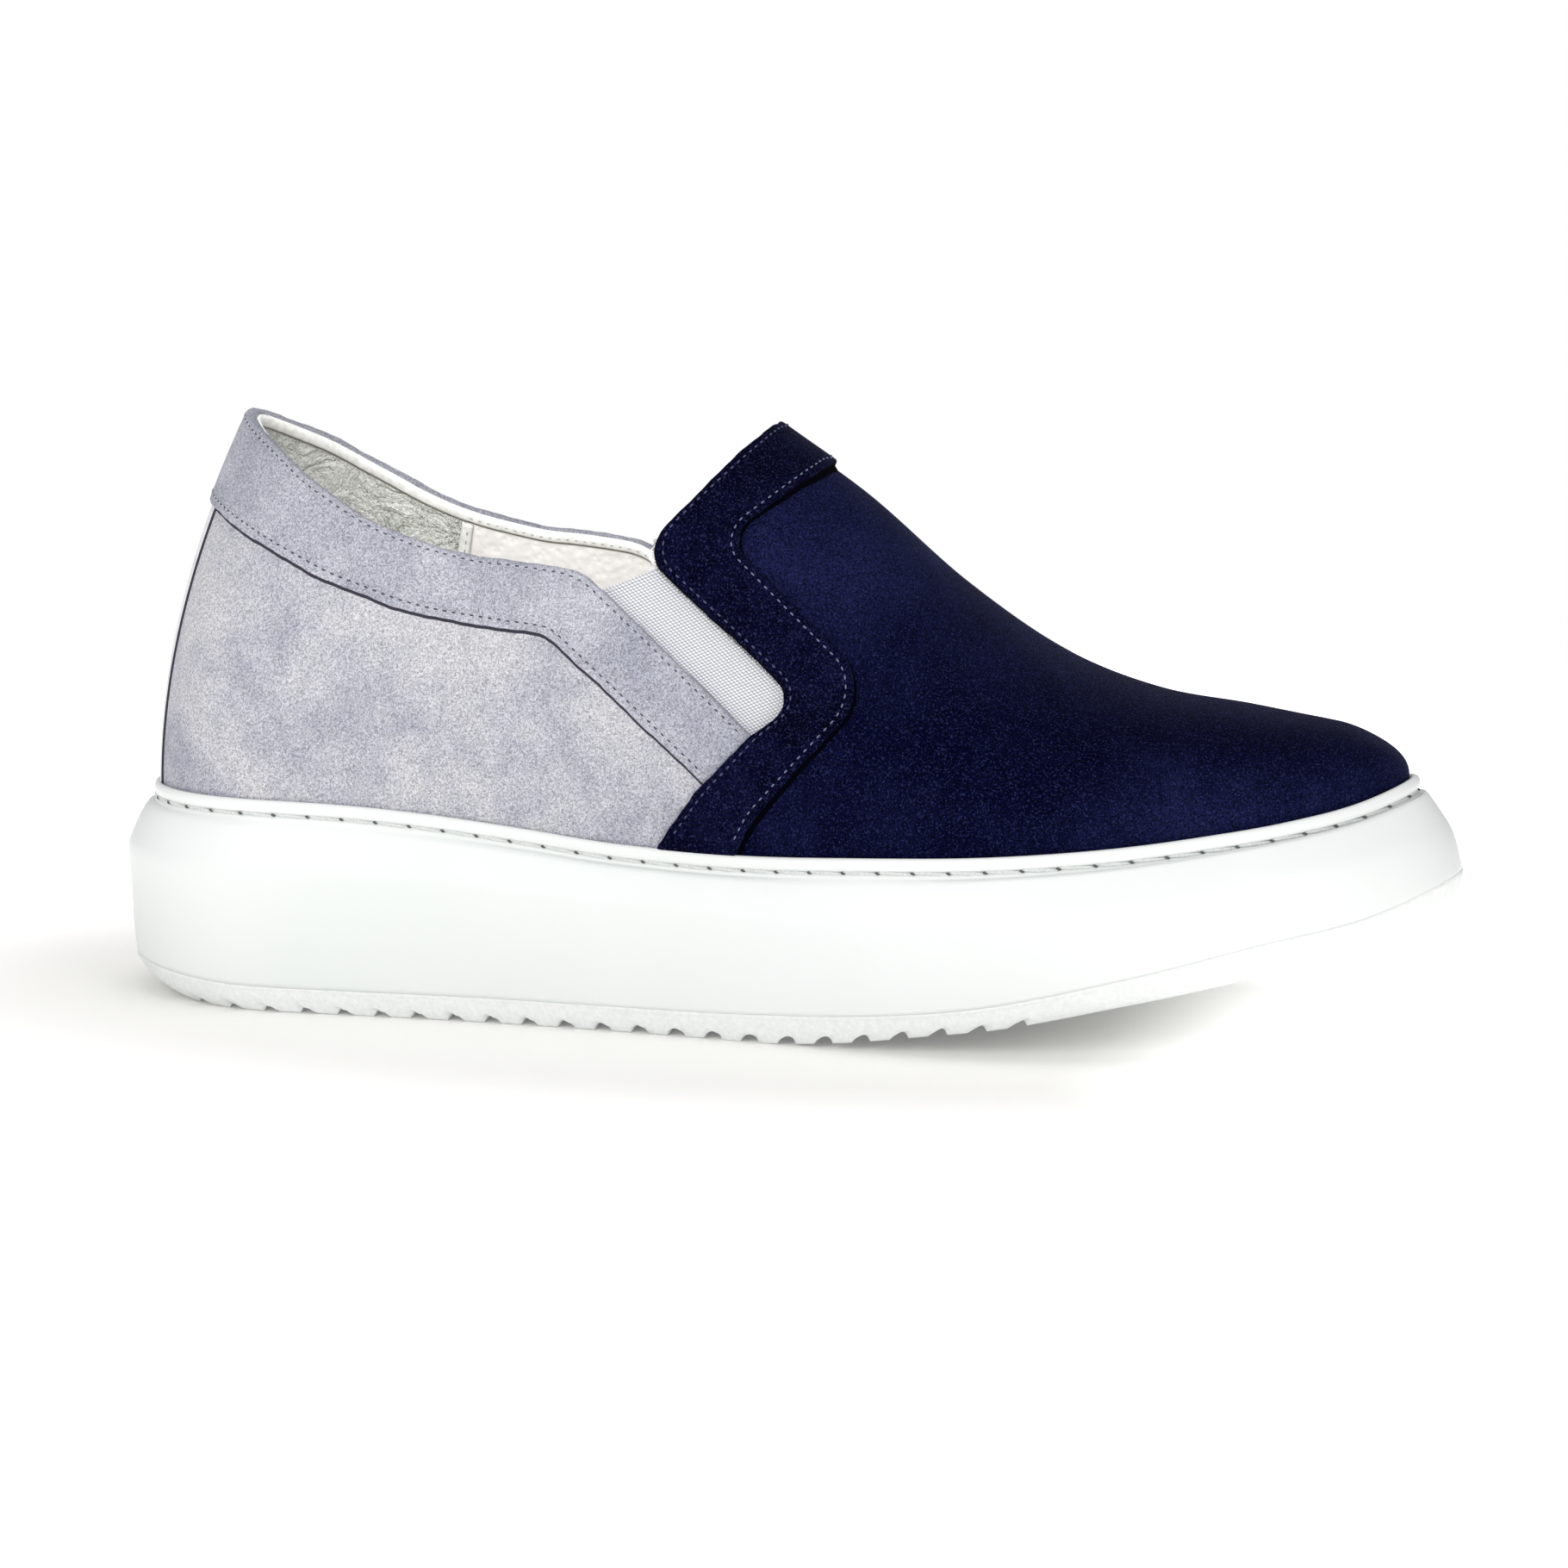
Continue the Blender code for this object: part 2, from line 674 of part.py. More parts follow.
def build_insole():
    """The footbed: a thin sheet under the toes that rises to the heel lift."""
    u = end_spaced(LENGTH_STEPS)
    floor = height("lip", u) - CUP_DEPTH + GAP
    climb = np.clip(1 - u * SOLE_LENGTH / LIFT_REACH, 0, 1)
    climb = climb * climb * (3 - 2 * climb)
    top = floor + INSOLE_EDGE + (HEEL_LIFT - INSOLE_EDGE) * climb
    rings = [contour(u, LEDGE_BACK, LEDGE_SIDE, LEDGE_FRONT, z) for z in (floor, top)]
    insole = new_object("insole", mesh_of("insole", *loft(rings)))
    inside = as_cutter(form("insole_outline", -UPPER_WALL - GAP, CUP_DEPTH + INSOLE_EDGE))
    boolean(insole, "INTERSECT", inside)
    return finish(insole)


def clear_scene():
    for old in list(bpy.data.objects):
        bpy.data.objects.remove(old)


OUTSIDE = BALL_WIDTH
ABOVE = SOLE_HEIGHT + INSTEP_RISE * 2
SHARES = np.linspace(0, 1, 400)
PLAN_EDGES = contour(SHARES, 0.0, 0.0, 0.0, 0.0)
MIDDLE = (
    -SOLE_LENGTH / 2,
    -(PLAN_EDGES[0][:, 1].min() + PLAN_EDGES[1][:, 1].max()) / 2,
    0.0,
)


def main():
    clear_scene()
    pieces = [
        build_outsole(),
        build_midsole(),
        build_insole(),
        build_upper(),
        build_collar_band(),
        build_vamp_strip(),
        build_gore("gore_lateral", LATERAL),
        build_gore("gore_medial", MEDIAL),
    ]
    shoe = bpy.data.objects.new("shoe", None)
    bpy.context.scene.collection.objects.link(shoe)
    for piece in pieces:
        piece.parent = shoe


main()
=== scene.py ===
"""Looks of the slip-on shoe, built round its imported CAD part.

Metres. +X towards the toe, +Y towards the inner (medial) side, +Z up, floor at Z = 0.
Shapes are worked out from the heel end of the sole, as in the part's source, and every mesh is
then moved so that the middle of the shoe's box lies at the origin.
"""

import json
import math

import bmesh
import bpy
import numpy as np
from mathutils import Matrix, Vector

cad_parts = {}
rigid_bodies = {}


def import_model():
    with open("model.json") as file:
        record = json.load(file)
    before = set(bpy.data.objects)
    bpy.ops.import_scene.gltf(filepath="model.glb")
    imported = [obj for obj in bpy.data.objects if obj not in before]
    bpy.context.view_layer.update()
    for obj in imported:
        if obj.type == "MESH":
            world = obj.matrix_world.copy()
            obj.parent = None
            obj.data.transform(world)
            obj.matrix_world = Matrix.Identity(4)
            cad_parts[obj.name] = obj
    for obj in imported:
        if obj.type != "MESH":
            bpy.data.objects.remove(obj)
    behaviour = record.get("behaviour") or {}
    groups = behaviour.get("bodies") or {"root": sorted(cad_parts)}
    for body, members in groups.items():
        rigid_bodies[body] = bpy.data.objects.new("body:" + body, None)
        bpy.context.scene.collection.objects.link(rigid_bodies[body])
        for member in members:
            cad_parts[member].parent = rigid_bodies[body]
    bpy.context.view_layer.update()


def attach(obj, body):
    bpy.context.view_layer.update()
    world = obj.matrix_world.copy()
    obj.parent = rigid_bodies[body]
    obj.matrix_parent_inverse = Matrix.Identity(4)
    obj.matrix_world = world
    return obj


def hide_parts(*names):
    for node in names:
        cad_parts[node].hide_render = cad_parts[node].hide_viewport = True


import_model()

# Driving sizes of the sole
SOLE_LENGTH = 0.300
BALL_WIDTH = 0.104
SOLE_HEIGHT = 0.0468
HEEL_ROUND = 0.0375
TOE_ROUND = 0.0360

# Driving sizes of the upper
LEDGE_BACK = 0.0077
LEDGE_SIDE = 0.007
LEDGE_FRONT = 0.0120
INSTEP_RISE = 0.0872
COLLAR_RISE = 0.0835
HEEL_LEAN = 0.0218
LEAN_POWER = 1.88
LEAN_REACH = 0.1380
TOE_DROP = 0.0180
CREST_SHIFT = 0.006
UPPER_WALL = 0.0020

# Driving sizes of the cup, the footbed and the tread
CUP_DEPTH = 0.0120
INSOLE_EDGE = 0.0040
HEEL_LIFT = 0.0300
LIFT_REACH = 0.1800
ROLL_BACK = 0.0090
ROLL_SIDE = 0.0036
ROLL_FRONT = 0.0070
TREAD_PITCH = 0.0085
TREAD_GROOVE_WIDTH = 0.0042
TREAD_GROOVE_DEPTH = 0.0018
TREAD_START = 0.0059
TREAD_LENGTH = 0.1990

# Thicknesses of the scene's own skins
TRIM_THICKNESS = 0.0003
SKIN_THICKNESS = 0.0012
GORE_THICKNESS = 0.0011
LINING_THICKNESS = 0.0008
FOOTBED_THICKNESS = 0.0015

# How far in from the upper's form the linings and the elastic lie, and the stitches on them
LINING_IN = 0.0021
THROAT_LINING_IN = 0.0022
ELASTIC_IN = 0.0009
BINDING_STITCH_IN = 0.0027
SEAM_STITCH_IN = 0.0033

# The two sides, as signs across
LATERAL, MEDIAL = -1, 1

# Stitches: distance apart, then length and thickness of what shows of each thread or needle hole; a needle
# hole is a dark mark of painted shade
SEWN_PITCH = 0.0021
SOLE_PITCH = 0.0078
BAND_HOLE = (0.00105, 0.00036)
BAND_THREAD = (0.00130, 0.00034)
STRIP_REAR_THREAD = (0.00105, 0.00042)
STRIP_FRONT_THREAD = (0.00105, 0.00036)
EDGE_FIBRE = (0.0010, 0.00011)
BINDING_HOLE = (0.0009, 0.00024)
SEAM_HOLE = (0.0010, 0.00032)
SOLE_THREAD = (0.0084, 0.00095)
SOLE_HOLE = (0.0011, 0.00060)
FIBRE_PITCH = 0.00022
FIBRE_SEED = 7
# Stitch rows on the strips: height over the form, in from the low edge, or 0 and in from the high
BAND_ROWS = ((0.00152, 0.0018), (0.00146, 0.0, 0.0013))
STRIP_REAR_ROW = (0.00186, 0.0017)
STRIP_FRONT_ROW = (0.00186, 0.0, 0.0018)

PLAN = (
    # along, half width / (BALL_WIDTH / 2), sideways bow / BALL_WIDTH
    (0.00, 0.720, 0.000),
    (0.13, 0.722, 0.000),
    (0.25, 0.720, -0.010),
    (0.38, 0.740, -0.034),
    (0.50, 0.828, -0.046),
    (0.62, 0.958, -0.046),
    (0.70, 1.000, -0.029),
    (0.80, 0.935, 0.003),
    (0.90, 0.730, 0.034),
    (1.00, 0.560, 0.048),
)
SOLE_LINES = {
    # along, height / SOLE_HEIGHT
    "tread": (
        (0.00, 0.045), (0.04, 0.010), (0.09, 0.000), (0.30, 0.000), (0.52, 0.000), (0.57, 0.024),
        (0.65, 0.090), (0.70, 0.130), (0.78, 0.224), (0.89, 0.357), (0.94, 0.440), (1.00, 0.550),
    ),
    "seam": (
        (0.00, 0.180), (0.04, 0.158), (0.10, 0.128), (0.20, 0.119), (0.30, 0.122), (0.40, 0.122),
        (0.50, 0.133), (0.60, 0.173), (0.67, 0.224), (0.78, 0.370), (0.88, 0.522), (0.95, 0.620),
        (1.00, 0.745),
    ),
    "shoulder": (
        (0.00, 0.692), (0.13, 0.684), (0.20, 0.671), (0.30, 0.650), (0.40, 0.604), (0.50, 0.580),
        (0.60, 0.583), (0.70, 0.641), (0.78, 0.700), (0.88, 0.795), (0.95, 0.880), (1.00, 0.960),
    ),
    "lip": (
        (0.00, 1.000), (0.12, 1.002), (0.19, 0.991), (0.25, 0.968), (0.33, 0.923), (0.40, 0.880),
        (0.45, 0.866), (0.50, 0.861), (0.61, 0.889), (0.71, 0.917), (0.80, 0.958), (0.86, 0.998),
        (0.92, 1.050), (0.97, 1.112), (1.00, 1.175),
    ),
}
CREST = (
    # along, crest height over the lip / INSTEP_RISE, fullness of the arch, crest shift / CREST_SHIFT
    (0.000, 1.284, 1.50, 0.0),
    (0.200, 1.250, 2.15, 0.0),
    (0.300, 1.238, 2.30, 0.1),
    (0.400, 1.204, 2.15, 0.3),
    (0.450, 1.124, 2.05, 0.4),
    (0.507, 1.000, 1.98, 0.5),
    (0.570, 0.850, 1.96, 0.7),
    (0.650, 0.611, 2.00, 0.9),
    (0.730, 0.418, 2.07, 1.0),
    (0.800, 0.314, 2.15, 0.8),
    (0.870, 0.253, 2.20, 0.6),
    (0.930, 0.194, 2.20, 0.3),
    (1.000, 0.120, 2.20, 0.0),
)
SOLE_WALL = (
    # lower line, upper line, share between them, insets / LEDGE_BACK, LEDGE_SIDE, LEDGE_FRONT
    ("seam", "shoulder", 0.00, 0.215, 0.175, 0.015),
    ("seam", "shoulder", 0.05, 0.185, 0.145, 0.018),
    ("seam", "shoulder", 0.12, 0.16, 0.11, 0.03),
    ("seam", "shoulder", 0.30, 0.115, 0.07, 0.07),
    ("seam", "shoulder", 0.55, 0.08, 0.04, 0.12),
    ("seam", "shoulder", 0.78, 0.03, 0.015, 0.19),
    ("seam", "shoulder", 0.92, 0.00, 0.00, 0.25),
    ("shoulder", "lip", 0.04, 0.00, 0.03, 0.31),
    ("shoulder", "lip", 0.12, 0.06, 0.09, 0.36),
    ("shoulder", "lip", 0.28, 0.18, 0.21, 0.45),
    ("shoulder", "lip", 0.45, 0.33, 0.36, 0.55),
    ("shoulder", "lip", 0.58, 0.47, 0.50, 0.63),
    ("shoulder", "lip", 0.66, 0.59, 0.61, 0.70),
)
# The sole's top edge: depth under the lip, how far out of the upper, both in metres
SOLE_LIP = (
    (0.0046, 0.0023), (0.0040, 0.0022), (0.0037, 0.0019), (0.0034, 0.0013), (0.0030, 0.0013),
    (0.0027, 0.0020), (0.0023, 0.00235), (0.0014, 0.0024), (0.0007, 0.0023), (0.0002, 0.0019),
    (0.0000, 0.0014), (0.0001, 0.0007), (0.0005, 0.0003), (0.0060, 0.0003),
)
STITCH_DEPTH = 0.0032
STITCH_OUT = 0.00165
# How much of that the lip sticks out at the back, at the sides and in front
LIP_SHARES = (0.70, 1.0, 1.0)
OUTSOLE_WALL = (
    # share of the height from tread to seam, insets / ROLL_BACK, ROLL_SIDE, ROLL_FRONT
    (0.00, 1.000, 1.00, 1.000),
    (0.05, 0.900, 0.91, 0.850),
    (0.12, 0.780, 0.82, 0.670),
    (0.22, 0.640, 0.72, 0.490),
    (0.40, 0.460, 0.58, 0.250),
    (0.60, 0.330, 0.47, 0.090),
    (0.80, 0.240, 0.39, 0.030),
    (0.86, 0.215, 0.36, 0.010),
    (0.89, 0.190, 0.32, -0.005),
    (0.93, 0.178, 0.30, -0.010),
    (0.97, 0.180, 0.31, -0.005),
    (1.00, 0.190, 0.33, 0.005),
    (1.012, 0.230, 0.40, 0.030),
)
COLLAR_RIM = (
    # along, height over the lip / COLLAR_RISE
    (0.000, 0.990), (0.026, 0.948), (0.059, 0.900), (0.097, 0.840), (0.129, 0.796), (0.160, 0.755),
    (0.188, 0.726), (0.214, 0.707), (0.245, 0.693), (0.279, 0.684), (0.313, 0.688), (0.345, 0.689),
)
BAND_FOOT = (
    # along, height over the lip / COLLAR_RISE
    (0.000, 0.752), (0.047, 0.698), (0.082, 0.657), (0.112, 0.622), (0.143, 0.585), (0.178, 0.554),
    (0.214, 0.527), (0.249, 0.514), (0.284, 0.511), (0.325, 0.512),
)
# Corners of the panel edges: along, height over the lip / COLLAR_RISE, radius / COLLAR_RISE
RIM_CORNERS = (
    (0.371, 0.688, 0.180),
    (0.528, 0.271, 0.0),
)
BAND_FOOT_CORNERS = (
    (0.345, 0.512, 0.096),
    (0.515, 0.078, 0.0),
)
THROAT_CORNERS = (
    (0.516, 0.303, 0.0),
    (0.555, 0.395, 0.066),
    (0.421, 0.752, 0.084),
    (0.551, 1.235, 0.0),
)
STRIP_REAR_CORNERS = (
    (0.4275, -0.063, 0.0),
    (0.4756, 0.167, 0.360),
    (0.516, 0.303, 0.030),
)
STRIP_FRONT_CORNERS = (
    (0.497, -0.060, 0.0),
    (0.522, 0.100, 0.240),
    (0.6115, 0.418, 0.114),
    (0.485, 0.796, 0.067),
    (0.657, 1.207, 0.0),
)
GORE_TOP = (
    # along, height over the lip / COLLAR_RISE
    (0.392, 0.655), (0.436, 0.722),
)
LEDGE = (LEDGE_BACK, LEDGE_SIDE, LEDGE_FRONT)
REACH = SOLE_LENGTH - LEDGE_BACK - LEDGE_FRONT
# Shares along at which the leather lining meets the heel grip and at which it ends
LINING_SEAM = 0.200
LINING_END = 0.515
# Shares along at which the quarter ends under the navy strip, at the sole and at the top
QUARTER_END = (0.462, 0.508)
# How far under the lip the skins go, as an arch share
SKIN_FOOT = -0.35
# Arch shares between which the strip's rear edge lies beside the elastic
STRIP_FUZZ = (0.30, 0.45)
# Half width of the back strip, as a share along
BACK_STRIP_EDGE = 0.0100


def smooth(table, column, at):
    """A cubic curve through one column of a table, read at the given shares."""
    x = np.array([row[0] for row in table], float)
    v = np.array([row[column] for row in table], float)
    step = np.diff(x)
    slope = np.diff(v) / step
    tangent = np.empty_like(v)
    tangent[1:-1] = (step[1:] * slope[:-1] + step[:-1] * slope[1:]) / (step[1:] + step[:-1])
    tangent[0] = 1.5 * slope[0] - 0.5 * tangent[1]
    tangent[-1] = 1.5 * slope[-1] - 0.5 * tangent[-2]
    at = np.clip(np.asarray(at, float), x[0], x[-1])
    k = np.clip(np.searchsorted(x, at, side="right") - 1, 0, len(step) - 1)
    s = (at - x[k]) / step[k]
    return (
        v[k] * (1 + 2 * s) * (1 - s) ** 2
        + tangent[k] * step[k] * s * (1 - s) ** 2
        + v[k + 1] * s * s * (3 - 2 * s)
        + tangent[k + 1] * step[k] * s * s * (s - 1)
    )


def round_end(u, reach):
    """A quarter ellipse that opens from 0 at the end to 1 at the reach."""
    inside = np.clip(1 - u / reach, 0, 1)
    return np.sqrt(np.clip(1 - inside**2, 0, 1))


def half_width(u):
    """Half the sole's width at a share of its length."""
    ends = round_end(u, HEEL_ROUND / SOLE_LENGTH) * round_end(1 - u, TOE_ROUND / SOLE_LENGTH)
    return smooth(PLAN, 1, u) * ends * BALL_WIDTH / 2


def bow(u):
    """How far the middle of the plan lies towards the medial side."""
    return smooth(PLAN, 2, u) * BALL_WIDTH


def height(line, u):
    """Height of one of the sole's lines over the floor."""
    return np.clip(smooth(SOLE_LINES[line], 1, u) * SOLE_HEIGHT, 0, None)


def end_spaced(steps):
    """Shares from 0 to 1, closer together at both ends."""
    return (1 - np.cos(np.linspace(0, math.pi, steps + 1))) / 2


def heel_spaced(steps):
    """Shares from 0 to 1, closer together at the start."""
    return 1 - np.cos(np.linspace(0, math.pi / 2, steps + 1))


def contour(u, back, side, front, z):
    """The sole's plan drawn in by these insets: lateral points and medial points, heel to toe."""
    x = back + u * (SOLE_LENGTH - back - front)
    half = half_width(u) * (BALL_WIDTH / 2 - side) / (BALL_WIDTH / 2)
    middle = bow(u)
    z = np.broadcast_to(z, x.shape)
    lateral = np.stack([x, middle - half, z], axis=-1)
    medial = np.stack([x, middle + half, z], axis=-1)
    return lateral, medial


def crest_rise(u):
    """Height of the crest over the lip."""
    return smooth(CREST, 1, u) * INSTEP_RISE * round_end(1 - u, TOE_DROP / SOLE_LENGTH)


def lean(u, rise):
    """How far the back of the shoe leans forward at a height over the lip."""
    fade = np.clip(u * SOLE_LENGTH / LEAN_REACH, 0, 1)
    fade = 1 - fade * fade * (3 - 2 * fade)
    return HEEL_LEAN * np.clip(rise / COLLAR_RISE, 0, None) ** LEAN_POWER * fade


def arch_of(across):
    """The share from the lip up to the crest, on either side."""
    return 1 - np.abs(across - 1)


def on_side(arch, side):
    """The share across that lies at an arch share on one side."""
    return arch if side == LATERAL else 2 - arch


def form_at(u, across):
    """A point of the upper's outer form. across runs from 0 at the lateral lip over 1 at the crest
    to 2 at the medial lip. Under 0 and over 2 it goes straight down into the cup."""
    u, across = np.broadcast_arrays(np.asarray(u, float), np.asarray(across, float))
    arch = arch_of(across)
    side = np.where(across < 1, LATERAL, MEDIAL)
    half = half_width(u) * (BALL_WIDTH / 2 - LEDGE_SIDE) / (BALL_WIDTH / 2)
    shift = smooth(CREST, 3, u) * CREST_SHIFT * np.clip(half / LEDGE_SIDE / 3, 0, 1)
    power = 2 / smooth(CREST, 2, u)
    turn = np.clip(arch, 0, 1) * math.pi / 2
    rise = crest_rise(u) * np.sin(turn) ** power
    reach = (half - side * shift) * np.clip(np.cos(turn), 0, 1) ** power
    x = LEDGE_BACK + u * REACH + lean(u, rise)
    z = height("lip", u) + rise + np.minimum(arch, 0) * CUP_DEPTH
    return np.stack([x, bow(u) + shift + side * reach, z], axis=-1)


def arch_at(u, rise):
    """The arch share that lies at a height over the lip."""
    crest = np.maximum(crest_rise(u), 1e-6)
    share = np.clip(rise / crest, 0, 1) ** (smooth(CREST, 2, u) / 2)
    return np.where(rise < 0, rise / CUP_DEPTH, np.arcsin(share) * 2 / math.pi)


def normal_at(u, across):
    """Outward normals of the upper's form."""
    u, across = np.broadcast_arrays(np.asarray(u, float), np.asarray(across, float))
    near_u, near_a = 2e-4, 2e-3
    u = np.clip(u, 0, 1 - 2 * near_u)
    along = form_at(np.clip(u + near_u, 0, 1), across) - form_at(np.clip(u - near_u, 0, 1), across)
    up = form_at(u, across + near_a) - form_at(u, across - near_a)
    normal = np.cross(along, up)
    normal[..., 1] *= u > near_u / 10
    return normal / np.maximum(np.linalg.norm(normal, axis=-1, keepdims=True), 1e-12)


def skin(u, across, offset=0.0):
    """Points of the upper's form moved outwards by an offset."""
    return form_at(u, across) + normal_at(u, across) * np.asarray(offset)[..., None]


def side_view(u, up):
    """(x, z) of a point of the upper, from its share along and its height over the lip / COLLAR_RISE."""
    rise = np.asarray(up, float) * COLLAR_RISE
    u = np.asarray(u, float)
    x = LEDGE_BACK + u * REACH + lean(u, rise)
    return np.stack([x, height("lip", u) + rise], axis=-1)


def shares_of(points):
    """Shares along and arch shares of side view points."""
    x, z = np.asarray(points, float).T
    u = np.clip((x - LEDGE_BACK) / REACH, 0, 1)
    for _ in range(40):
        u = np.clip((x - LEDGE_BACK - lean(u, z - height("lip", u))) / REACH, 0, 1)
    return u, arch_at(u, z - height("lip", u))


def along_table(table, steps=90):
    """Side view points of a line whose height is a smooth function of its share along."""
    u = table[0][0] + (table[-1][0] - table[0][0]) * np.linspace(0, 1, steps) ** 2
    return side_view(u, smooth(table, 1, u))


def rounded(corners, steps=8):
    """Side view points of a line of straight runs with its corners rounded to their radii."""
    points = [side_view(u, up) for u, up, _ in corners]
    made = [points[0]]
    for before, corner, after, row in zip(points, points[1:], points[2:], corners[1:]):
        radius = row[2] * COLLAR_RISE
        to_before = (before - corner) / np.linalg.norm(before - corner)
        to_after = (after - corner) / np.linalg.norm(after - corner)
        half_angle = math.acos(float(np.clip(to_before @ to_after, -1, 1))) / 2
        bisector = (to_before + to_after) / np.linalg.norm(to_before + to_after)
        centre = corner + bisector * radius / math.sin(half_angle)
        start = corner + to_before * radius / math.tan(half_angle) - centre
        end = corner + to_after * radius / math.tan(half_angle) - centre
        sweep = math.atan2(start[0] * end[1] - start[1] * end[0], float(start @ end))
        for share in np.linspace(0, 1, steps + 1):
            c, s = math.cos(sweep * share), math.sin(sweep * share)
            made.append(centre + np.array([start[0] * c - start[1] * s, start[0] * s + start[1] * c]))
    return np.array(made + [points[-1]])


def curve_then_corners(table, corners):
    """A smooth line that goes on as straight runs with rounded corners."""
    return np.concatenate([along_table(table), rounded((table[-1] + (0.0,),) + corners)[1:]])


def run_along(points):
    """Length of a row of points from its start to each point."""
    gaps = np.linalg.norm(np.diff(points, axis=0), axis=1)
    return np.concatenate([[0], np.cumsum(gaps)])


class Line:
    """A panel's edge on the lateral side, read by its real length from its start."""

    def __init__(self, points, step=0.0008):
        dense = [points[:1]]
        for p, q in zip(points, points[1:]):
            pieces = max(1, int(np.linalg.norm(q - p) / step))
            dense.append(p + (q - p) * (np.arange(1, pieces + 1) / pieces)[:, None])
        self.u, self.arch = shares_of(np.concatenate(dense))
        over = np.flatnonzero(self.arch >= 1 - 1e-6)
        if len(over):
            self.u, self.arch = self.u[: over[0] + 1], self.arch[: over[0] + 1]
        self.run = run_along(form_at(self.u, self.arch))

    def at(self, run):
        return np.interp(run, self.run, self.u), np.interp(run, self.run, self.arch)

    def run_near(self, u, up):
        """Length along the line to its point nearest to a corner."""
        near_u, near_arch = shares_of(side_view(u, up)[None])
        gap = form_at(self.u, self.arch) - form_at(near_u, near_arch)
        return float(self.run[np.linalg.norm(gap, axis=1).argmin()])


def paired(line, breaks, steps):
    """Shares of a line at columns that put its breaks at the same columns as its partner's."""
    stops = [0.0] + [line.run_near(*b) for b in breaks] + [float(line.run[-1])]
    runs = [np.array([0.0])]
    for a, b, count in zip(stops, stops[1:], steps):
        runs.append(a + (b - a) * np.arange(1, count + 1) / count)
    return line.at(np.concatenate(runs))


def mirrored(at, arch, *offset):
    """Rows over both sides of the shoe, from one side round the heel to the other."""
    sides = [np.concatenate([part[:, ::-1], part[:, 1:]], axis=1) for part in (at, *offset)]
    return sides[0], np.concatenate([arch[:, ::-1], 2 - arch[:, 1:]], axis=1), *sides[1:]


def over_crest(at, arch, *offset):
    """Rows over both sides of the shoe, from the lateral edge over the crest to the medial one."""
    sides = [np.concatenate([part, part[:, ::-1][:, 1:]], axis=1) for part in (at, *offset)]
    return sides[0], np.concatenate([arch, 2 - arch[:, ::-1][:, 1:]], axis=1), *sides[1:]


class Panel:
    """A strip of the upper between two paired lines. both_sides says how its halves meet."""

    def __init__(self, low, high, both_sides):
        self.u, self.across = both_sides(*(np.stack(pair) for pair in zip(low, high)))
        corners = form_at(self.u, self.across)
        self.width = np.linalg.norm(corners[1] - corners[0], axis=1)
        self.run = run_along(corners.mean(axis=0))

    def shares(self, in_from_low, in_from_high=None):
        """Shares at a distance in from the low line, or in from the high line."""
        if in_from_high is not None:
            s = 1 - in_from_high / self.width
        else:
            s = in_from_low / self.width
        u = self.u[0] + (self.u[1] - self.u[0]) * s
        return u, self.across[0] + (self.across[1] - self.across[0]) * s

    def place(self, offset, in_from_low=0.0, in_from_high=None):
        u, across = self.shares(in_from_low, in_from_high)
        return skin(u, across, np.broadcast_to(offset, u.shape))

    def normals(self, in_from_low=0.0, in_from_high=None):
        return normal_at(*self.shares(in_from_low, in_from_high))


def wander(run, size, seed, lengths=(0.021, 0.0093, 0.0041)):
    """A small irregular wave along an edge."""
    made = np.zeros_like(run)
    for i, length in enumerate(lengths):
        made += np.sin(run / length * 2 * math.pi + seed * (1.7 + i)) / (1.4 + i)
    return made * size / 1.6


# Meshes and pieces
MIDDLE_SHARES = np.linspace(0, 1, 400)
EDGES = contour(MIDDLE_SHARES, 0.0, 0.0, 0.0, 0.0)
MIDDLE = np.array([-SOLE_LENGTH / 2, -(EDGES[0][:, 1].min() + EDGES[1][:, 1].max()) / 2, 0.0])


def placed(name, data):
    """A new object in the scene."""
    made = bpy.data.objects.new(name, data)
    bpy.context.scene.collection.objects.link(made)
    return made


def grid_faces(rows, columns):
    """Quads of a grid of points, rows by columns."""
    r, c = np.meshgrid(np.arange(rows - 1), np.arange(columns - 1), indexing="ij")
    a = (r * columns + c).ravel()
    return np.stack([a, a + 1, a + columns + 1, a + columns], axis=1)


def faces_out(grid, faces):
    """How much the faces look away from the middle of the shoe's hollow."""
    flat = grid.reshape(-1, 3)
    a, b, c, d = (flat[faces[:, i]] for i in range(4))
    centre = (a + b + c + d) / 4
    u = np.clip(centre[:, 0] / SOLE_LENGTH, 0.13, 0.90)
    spine = np.stack([u * SOLE_LENGTH, bow(u), height("lip", u) + 0.008], axis=1)
    return float((np.cross(c - a, d - b) * (centre - spine)).sum())


